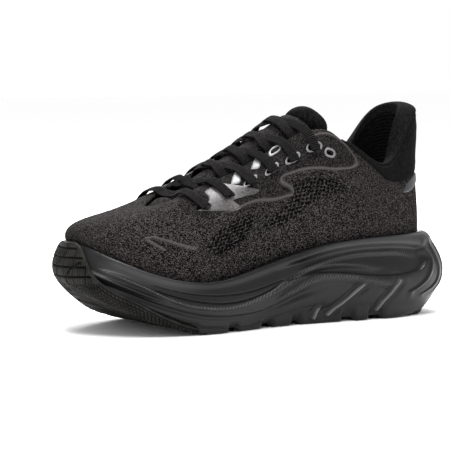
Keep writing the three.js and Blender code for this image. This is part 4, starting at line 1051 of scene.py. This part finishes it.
COVER_ROWS = 46
cover_t, cover_k = np.meshgrid(np.linspace(-0.205, 0.205, 320), np.linspace(0, 1, COVER_ROWS),
                               indexing="ij")
cover_low = through(COVER_LOW, half_round(cover_t))
cover_v = cover_low + (0.965 - cover_low) * cover_k
swell = ease(0.1, 0.6, cover_k) * ease(1.0, 0.75, cover_k) * ease(0.2, 0.12, half_round(cover_t))
plump = 0.5 + 0.5 * ease(0, 0.12, cover_k) + 1.1 * swell
cover_out = off_upper(cover_t, cover_v, GAP + plump)
cover_in = off_upper(cover_t, cover_v, 0.1)[:, ::5]
cover_points = np.concatenate([cover_out, cover_in[:, ::-1]], 1)
cover_mm = np.concatenate([np.linspace(0, 40, COVER_ROWS), np.linspace(40, 0, cover_in.shape[1] + 1)])
cover = grid_piece("heel_collar_cover", cover_points, cover_material, wraps=(False, True), caps=True,
                   uv=all_pairs(cover_t[:, 0] * UPPER_SCALE[0], cover_mm))
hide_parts("collar_wrap")

# ---- tongue --------------------------------------------------------------------------------------
# A padded tongue: melange knit over foam with a lining, its top edge rolled and stuffed. It is sewn in
# at the front and can be pressed down at the top.
# The tongue's middle line from the side, as (from the heel, height).
CROWN = np.array([[230, 74.5], [217, 82.5], [205, 89.5], [186, 101], [170, 109.5], [155, 117.5],
                  [143, 124.5], [130, 132], [117, 140], [104, 145.5]])
crown_points = np.column_stack([SOLE_LENGTH / 2 - CROWN[:, 0], np.zeros(len(CROWN)), CROWN[:, 1]])
TONGUE_FACE = 1.2
TONGUE_BACK = TONGUE_FACE + 1.4 * GAP + 5.5 + GAP + 1.0


def tongue_half(s):
    """Half width of the tongue: narrow at the sewn end, rounded in at the top."""
    return (17 + 11 * ease(0, 0.55, s)) * (1 - 0.06 * ease(0.85, 1, s))


def tongue_arch(s):
    """How fast the tongue falls off to each side."""
    return 0.062 - 0.038 * ease(0.66, 0.98, s)


# Half width of the throat at distances from the heel.
THROAT_HALF = [(100, 31), (112, 29), (142, 20.5), (170, 17.5), (197, 14.7), (217, 9), (232, 6)]
FLAT_ARCH = 0.02


def tongue_point(s, w, depth, pressed=0.0):
    """The crown line at s, swept to each side w as a parabola, sunk by depth along the surface's normal.

    Where pressed is 1 the parabola is flatter within the throat, as the laces hold the padding down.
    """
    s, w, depth = np.broadcast_arrays(np.asarray(s, float), np.asarray(w, float), np.asarray(depth, float))
    crown = smooth_line(crown_points, np.clip(s, 0, 1))
    tangent = smooth_line(crown_points, np.clip(s + 0.001, 0, 1)) \
        - smooth_line(crown_points, np.clip(s - 0.001, 0, 1))
    rise = unit(np.stack([-tangent[..., 2], 0 * s, tangent[..., 0]], -1))
    rise = rise * np.sign(rise[..., 2:])
    y = w * (tongue_half(s) - 0.2 * depth)
    throat = through(THROAT_HALF, SOLE_LENGTH / 2 - crown[..., 0])
    arch = tongue_arch(s)
    arch = arch - pressed * np.maximum(arch - FLAT_ARCH, 0) * ease(0.98, 0.55, np.abs(y) / throat)
    normal = unit(rise + np.stack([0 * y, 2 * arch * y, 0 * y], -1))
    side_step = np.stack([0 * y, y, 0 * y], -1)
    return crown + side_step - rise * (arch * y * y)[..., None] - normal * depth[..., None]


def tongue_slab(s_range, depth_out, depth_in, half=1.0, rows=150, columns=80, pressed=0.0):
    """A layer of the tongue between two depths; depth_out may change over (s, w)."""
    s, w = np.meshgrid(np.linspace(*s_range, rows), np.linspace(-half, half, columns), indexing="ij")
    outer = tongue_point(s, w, depth_out(s, w), pressed)
    inner = tongue_point(s, w, depth_in)
    points = np.concatenate([outer, inner[:, ::-8]], 1)
    columns_mm = np.concatenate([np.linspace(-28, 28, columns),
                                 np.linspace(28, -28, points.shape[1] - columns + 1)])
    return points, all_pairs(s[:, 0] * 150, columns_mm)


def face_depth(s, w):
    """How far the face is sunk: at its edges, middle and top end; raised by a seam a side and in front."""
    edge = 0.8 * ease(0.9, 1.0, np.abs(w))
    seam = -0.45 * hump((np.abs(w) - 0.86) * 28, 0.7)
    front = -3.6 * ease(0.0, 0.04, s) * ease(0.17, 0.1, s)
    return front + edge + seam + 0.35 * np.cos(w * 1.6) + 0.4 * ease(0.845, 0.86, s)


face_material = stitched("melange_tongue_knit", "#060506", "#403d3d", 0.42, **MELANGE)[0]
face_points, face_uv = tongue_slab((0, 0.864), face_depth, TONGUE_FACE, columns=110, pressed=1.0)
tongue_face = grid_piece("tongue_knit_face", face_points, face_material, body="tongue",
                         wraps=(False, True), caps=True, uv=face_uv)
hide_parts("tongue_face")
back_points, back_uv = tongue_slab((0.02, 0.864), lambda s, w: TONGUE_BACK - 1.0 + 0 * s, TONGUE_BACK,
                                   half=0.98, rows=90, columns=60)
tongue_back = grid_piece("tongue_back_lining", back_points, lining_material, body="tongue",
                         wraps=(False, True), caps=True, uv=back_uv)
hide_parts("tongue_lining")


def blow_up(piece, cap, pressure):
    """Swell a closed piece: a cloth simulation with air pressure, no gravity, and moves of cap at most."""
    count = len(piece.data.vertices)
    start = np.empty(count * 3)
    piece.data.vertices.foreach_get("co", start)
    air = piece.modifiers.new("air", "CLOTH")
    air.settings.use_pressure = True
    air.settings.uniform_pressure_force = pressure
    air.settings.effector_weights.gravity = 0
    air.point_cache.frame_end = AIR_FRAMES
    for step in range(1, AIR_FRAMES + 1):
        bpy.context.scene.frame_set(step)
    end = np.empty(count * 3)
    piece.evaluated_get(bpy.context.evaluated_depsgraph_get()).data.vertices.foreach_get("co", end)
    piece.modifiers.remove(air)
    bpy.context.scene.frame_set(1)
    move = (end - start).reshape(-1, 3)
    move *= np.minimum(1, cap / np.maximum(np.linalg.norm(move, axis=1), 1e-9))[:, None]
    piece.data.vertices.foreach_set("co", start + move.ravel())
    piece.data.update()


# The stuffed top edge: a tube of jersey sewn over the foam's end, pinched at its ends, then blown up.
PAD_START = 0.868
PAD_COLUMNS = 64
PAD_ROWS = 40
AIR_FRAMES = 20
pad_s, pad_a = np.meshgrid(np.linspace(-1, 1, PAD_COLUMNS), np.arange(PAD_ROWS) / PAD_ROWS * 2 * math.pi,
                           indexing="ij")
pad_middle = (PAD_START + 1.0) / 2
pad_reach = (1.0 - PAD_START) / 2 - 0.006
pad_along = np.clip(pad_middle + pad_reach * np.cos(pad_a) * (1 - 0.6 * np.abs(pad_s) ** 10), 0, 1)
pad_thick = (TONGUE_BACK + 0.6) / 2
pad_depth_mm = pad_thick - 1.2 - pad_thick * 0.76 * np.sin(pad_a) * (1 - 0.6 * np.abs(pad_s) ** 8)
pad_points = tongue_point(pad_along, pad_s * 0.97, pad_depth_mm)
pad_material = stitched("padded_edge_jersey", "#030303", "#141313", scale=1.2, **JERSEY)[0]
top_pad = grid_piece(
    "tongue_padded_top", pad_points, pad_material, body="tongue", wraps=(False, True), caps=True,
    uv=all_pairs(np.linspace(-28, 28, PAD_COLUMNS), np.linspace(0, 44, PAD_ROWS + 1)))
blow_up(top_pad, cap=0.0009, pressure=4)
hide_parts("tongue_top_pad")

# ---- lace ----------------------------------------------------------------------------------------
# One flat woven polyester lace, 7.4 mm wide, crossed over through six eyelets a side from the bar over the
# toe; its ends are tucked inside, and each is wound in a clear film tip.
LACE_WIDTH = 7.4
LACE_THICK = 1.3
LACED = 6
BEHIND = KNIT + GAP
OUTER_RUN = GAP * 2 + 0.5 + LACE_THICK / 2 + 0.6
INNER_RUN = -BEHIND - 0.7 - GAP - LACE_THICK / 2 - 0.5
BEND = (OUTER_RUN - INNER_RUN) / 2
TURN_BACK = 3
UNDER_LIFT = 1.2
OVER_LIFT = UNDER_LIFT + LACE_THICK + 0.35
# Where the rows cross the throat's edge, and where an end lies on the insole, as (distance round, side).
CROSSES_AT = [0.42, 0.386, 0.352, 0.323, 0.295, 0.268]
TUCK = [(0.31, 0.84), (0.33, 0.72), (0.355, 0.6), (0.375, 0.52), (0.392, 0.46)]
crown_samples = smooth_line(crown_points, np.linspace(0, 1, 81))
runway = unit(smooth_line(crown_points, np.array(0.501)) - smooth_line(crown_points, np.array(0.499)))


def eyelet_frame(side, row):
    """Centre of an eyelet slot and its own directions: out of the upper, along it and up it."""
    t, v = EYELET_AT[row - 1]
    t = np.array(t * SIDES[side])
    v = np.array(v)
    out = upper_normal(t, v)
    forward = unit(upper(t + 0.004, v) - upper(t - 0.004, v))
    return upper(t, v), out, unit(np.cross(out, forward))


def edge_t(row):
    """Place along the throat edge for a row, or for a point between two rows."""
    i = min(int(row), LACED - 1)
    return CROSSES_AT[i - 1] + (CROSSES_AT[i] - CROSSES_AT[i - 1]) * (row - i)


def instep(row, w, lift):
    """A stop on the arch across the throat: edge to edge, bowed up over the tongue's crown."""
    t = np.array(edge_t(row))
    medial, lateral = upper(t, np.array(EDGE)), upper(-t, np.array(EDGE))
    centre = (medial + lateral) / 2
    bow = (crown_samples[np.argmin(np.abs(crown_samples[:, 0] - centre[0]))] - centre) * [1, 0, 1]
    chord = (lateral - medial) / 2 - bow * 2 * w
    normal = unit(np.cross(runway, chord))
    normal = normal if normal[2] > 0 else -normal
    return medial + (lateral - medial) * (w + 1) / 2 + bow * (1 - w * w) + normal * lift, normal


def through_slot(side, row, sign):
    """The half turn from the outer run through the slot to the inner run."""
    centre, out, up = eyelet_frame(side, row)
    centre = centre + up * TURN_BACK + out * (OUTER_RUN + INNER_RUN) / 2
    stops = []
    for angle in np.linspace(0, math.pi, 7):
        normal = out * math.cos(angle) - up * math.sin(angle)
        stops.append((centre + normal * BEND, normal * sign))
    return stops


def edge_run(side, row, edge_place, lift, shares, sign=1):
    """Stops between an eyelet and a place near the edge, over or under the upper."""
    t, v = EYELET_AT[row - 1]
    stops = []
    for k in shares:
        a = np.array((t + (edge_place - t) * k) * SIDES[side])
        b = np.array(v + (EDGE - v) * k)
        stops.append((off_upper(a, b, lift), upper_normal(a, b) * sign))
    return stops


def crossing(side, row, lift, sign):
    """Out from under the edge between two rows and over the far edge to the next eyelet."""
    hand = 1 if side == "medial" else -1
    far_side = "lateral" if side == "medial" else "medial"
    t = np.array(edge_t(row + 0.5) * SIDES[side])
    edge = np.array(EDGE)
    exit_normal = upper_normal(t, edge)
    exit_up = unit(upper(t, edge) - upper(t, edge - 0.03))
    stops = edge_run(side, row, edge_t(row + 0.5), INNER_RUN - 0.2, (0.4, 0.92))
    stops.append((upper(t, edge) + exit_up * 2.9 - exit_normal * 2.4, exit_normal))
    for w in (-0.62, -0.3, 0, 0.3, 0.62):
        eased = UNDER_LIFT + (lift - UNDER_LIFT) * (1 if abs(w) < 0.5 else 0.3)
        stops.append(instep(row + 0.5 + 0.25 * (w + 1), w * hand, eased))
    stops += edge_run(far_side, row + 1, edge_t(row + 1), OUTER_RUN, (0.95, 0.5))
    return [(point, normal * sign) for point, normal in stops]


def sock_top_point(t, w, lift):
    """Top of the insole at t, w from the inner side (-1) to the outer side (1)."""
    near, far = sock_rim(np.array([t]), lift)[0], sock_rim(np.array([1 - t]), lift)[0]
    return near + (far - near) * (w + 1) / 2


def tucked_end(side, sign):
    """The last slot and the end inside: down the wall, then forward along the insole."""
    centre, out, up = eyelet_frame(side, LACED)
    hand = -1 if side == "medial" else 1
    stops = []
    for rise, away, angle in ((3.4, OUTER_RUN, 0), (1.2, OUTER_RUN - 1.3, 0.9), (0, -1.2, 1.4),
                              (-1.2, INNER_RUN + 1.2, 0.9), (-3.8, INNER_RUN, 0)):
        stops.append((centre + up * rise + out * away, out * math.cos(angle) - up * math.sin(angle)))
    for a, b in ((0.258, 0.62), (0.265, 0.5), (0.275, 0.38), (0.287, 0.27)):
        t, v = np.array(a * SIDES[side]), np.array(b)
        stops.append((off_upper(t, v, INNER_RUN - 0.4), upper_normal(t, v)))
    for a, w in TUCK:
        stops.append((sock_top_point(a, w * hand, GAP + LACE_THICK / 2 + 0.5), np.array([0, 0, 1.0])))
    return [(point, normal * sign) for point, normal in stops]


def strand(side, over_first):
    """One strand up the shoe from the bar, crossing over and under by turns, to its tucked end."""
    stops = []
    sign = 1
    for row in range(1, LACED):
        stops += through_slot(side, row, sign)
        sign = -sign
        over = (row % 2 == 1) == over_first
        stops += crossing(side, row, OVER_LIFT if over else UNDER_LIFT, sign)
        side = "lateral" if side == "medial" else "medial"
    return stops + tucked_end(side, sign)


lace_stops = strand("medial", True)[::-1] + edge_run("medial", 1, edge_t(1), OUTER_RUN, (0.5, 0.95))
lace_stops += [instep(1, w, UNDER_LIFT + 0.8) for w in (-0.6, -0.2, 0.2, 0.6)]
lace_stops += edge_run("lateral", 1, edge_t(1), OUTER_RUN, (0.95, 0.5)) + strand("lateral", False)
stop_points = np.array([stop[0] for stop in lace_stops])
stop_normals = np.array([stop[1] for stop in lace_stops])
LACE_STEPS = 3600
fine_k = np.linspace(0, 1, LACE_STEPS)
lace_line = smooth_line(stop_points, fine_k)
run_mm = np.concatenate([[0], np.cumsum(np.linalg.norm(np.diff(lace_line, axis=0), axis=1))])
lace_k = np.interp(np.linspace(0, run_mm[-1], LACE_STEPS), run_mm, fine_k)
lace_mm = np.linspace(0, run_mm[-1], LACE_STEPS)
lace_line = smooth_line(stop_points, lace_k)
tangent = unit(np.gradient(lace_line, axis=0))
face = smooth_line(stop_normals, lace_k, 0)
for _ in range(30):
    face[1:-1] = (face[:-2] + face[1:-1] * 2 + face[2:]) / 4
face -= tangent * (face * tangent).sum(1)[:, None]
face = unit(face)
across = np.cross(tangent, face)
section = np.arange(20) / 20 * 2 * math.pi
flat_across = np.sign(np.cos(section)) * np.abs(np.cos(section)) ** 0.7 * LACE_WIDTH / 2
flat_up = np.sign(np.sin(section)) * np.abs(np.sin(section)) ** 0.6 * LACE_THICK / 2
LACE_RIB = 1.5
rib = 1 + 0.35 * np.sin(lace_mm[:, None] * 2 * math.pi / LACE_RIB + 1.2 * np.abs(np.cos(section)))
pinch = 1 - 0.1 * np.abs(np.sin(lace_mm * 0.07))
lace_points = lace_line[:, None] + across[:, None] * (flat_across[None, :] * pinch[:, None])[..., None] \
    + face[:, None] * (flat_up[None, :] * rib)[..., None]
# Flat woven lace: matt black polyester with thin grey flecks; its cross ribs, about 1.5 mm apart, are
# painted lighter on their crests as highlights.
lace_material, shader = new_material("woven_polyester_lace", "#070707", 0.85, Specular_IOR_Level=0.05)
place_mm = add_node(lace_material, "UVMap", uv_map="surface_mm").outputs["UV"]
threads = add_node(lace_material, "TexVoronoi", {"Vector": place_mm, "Scale": 1.6, "Randomness": 0.4})
yarn = add_node(lace_material, "SeparateColor", {"Color": threads.outputs["Color"]})
share = add_node(lace_material, "MapRange", {"Value": yarn.outputs[0], "From Min": 0.3, "From Max": 1.0})
ribs = add_node(lace_material, "TexWave", {
    "Vector": place_mm, "Scale": 0.314 / LACE_RIB, "Distortion": 0.6}, bands_direction="X")
flecked = add_node(lace_material, "Math", {0: share.outputs[0], 1: 0.5, 2: 0.35}, operation="MULTIPLY_ADD")
# Painted highlight: each rib is mixed lighter along the wave, times the grey yarn flecks.
flecks_and_rib_highlight = add_node(lace_material, "Math", {0: ribs.outputs["Fac"], 1: flecked.outputs[0]},
                  operation="MULTIPLY")
tint = add_node(lace_material, "Mix", {
    "Factor": flecks_and_rib_highlight.outputs[0], "A": linear("#020202"), "B": linear("#2b2929")}, data_type="RGBA")
link_surface(lace_material, shader, tint.outputs[2], threads.outputs["Distance"], 0.4, 0.0003)
lace = grid_piece("flat_lace", lace_points, lace_material, wraps=(False, True), caps=True,
                  uv=all_pairs(lace_mm, np.linspace(0, 14, 21)))
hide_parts("lace")

# Lace tips: the last 18 mm of each end wound in clear acetate film.
TIP_LENGTH = 18
TIP_RADIUS = 1.7
tip_material = grained("wound_acetate_tip", "#0f0f10", 0.3, "TexNoise", {"Scale": 500.0},
                       "Fac", 0.2, 0.0003, Coat_Weight=0.4)
for side in SIDES:
    hand = -1 if side == "medial" else 1
    before, last = (sock_top_point(a, w * hand, GAP + TIP_RADIUS + 0.5) for a, w in TUCK[-2:])
    heading = unit(last - before)
    sideways = unit(np.cross([0, 0, 1], heading))
    upright = np.cross(heading, sideways)
    start = last + heading * GAP + [0, 0, 3.4]
    reach = np.linspace(0, TIP_LENGTH, 40)[:, None]
    turn = np.arange(20)[None, :] / 20 * 2 * math.pi
    round_end = np.sqrt(np.clip(1 - ((reach - TIP_LENGTH + 1) / 1.05).clip(0, 1) ** 2, 0.02, 1))
    radius = TIP_RADIUS * (0.9 + 0.1 * ease(0, 1.5, reach)) * round_end
    radius = radius * (1 - 0.03 * ease(0.8, 1.0, np.sin(reach * 1.6 + turn)))
    tip_points = start + heading * reach[..., None] + sideways * (radius * np.cos(turn))[..., None] \
        + upright * (radius * np.sin(turn))[..., None]
    tip = grid_piece(f"wound_lace_tip_{side}", tip_points, tip_material, wraps=(False, True), caps=True)
    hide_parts(f"lace_tip_{side}")
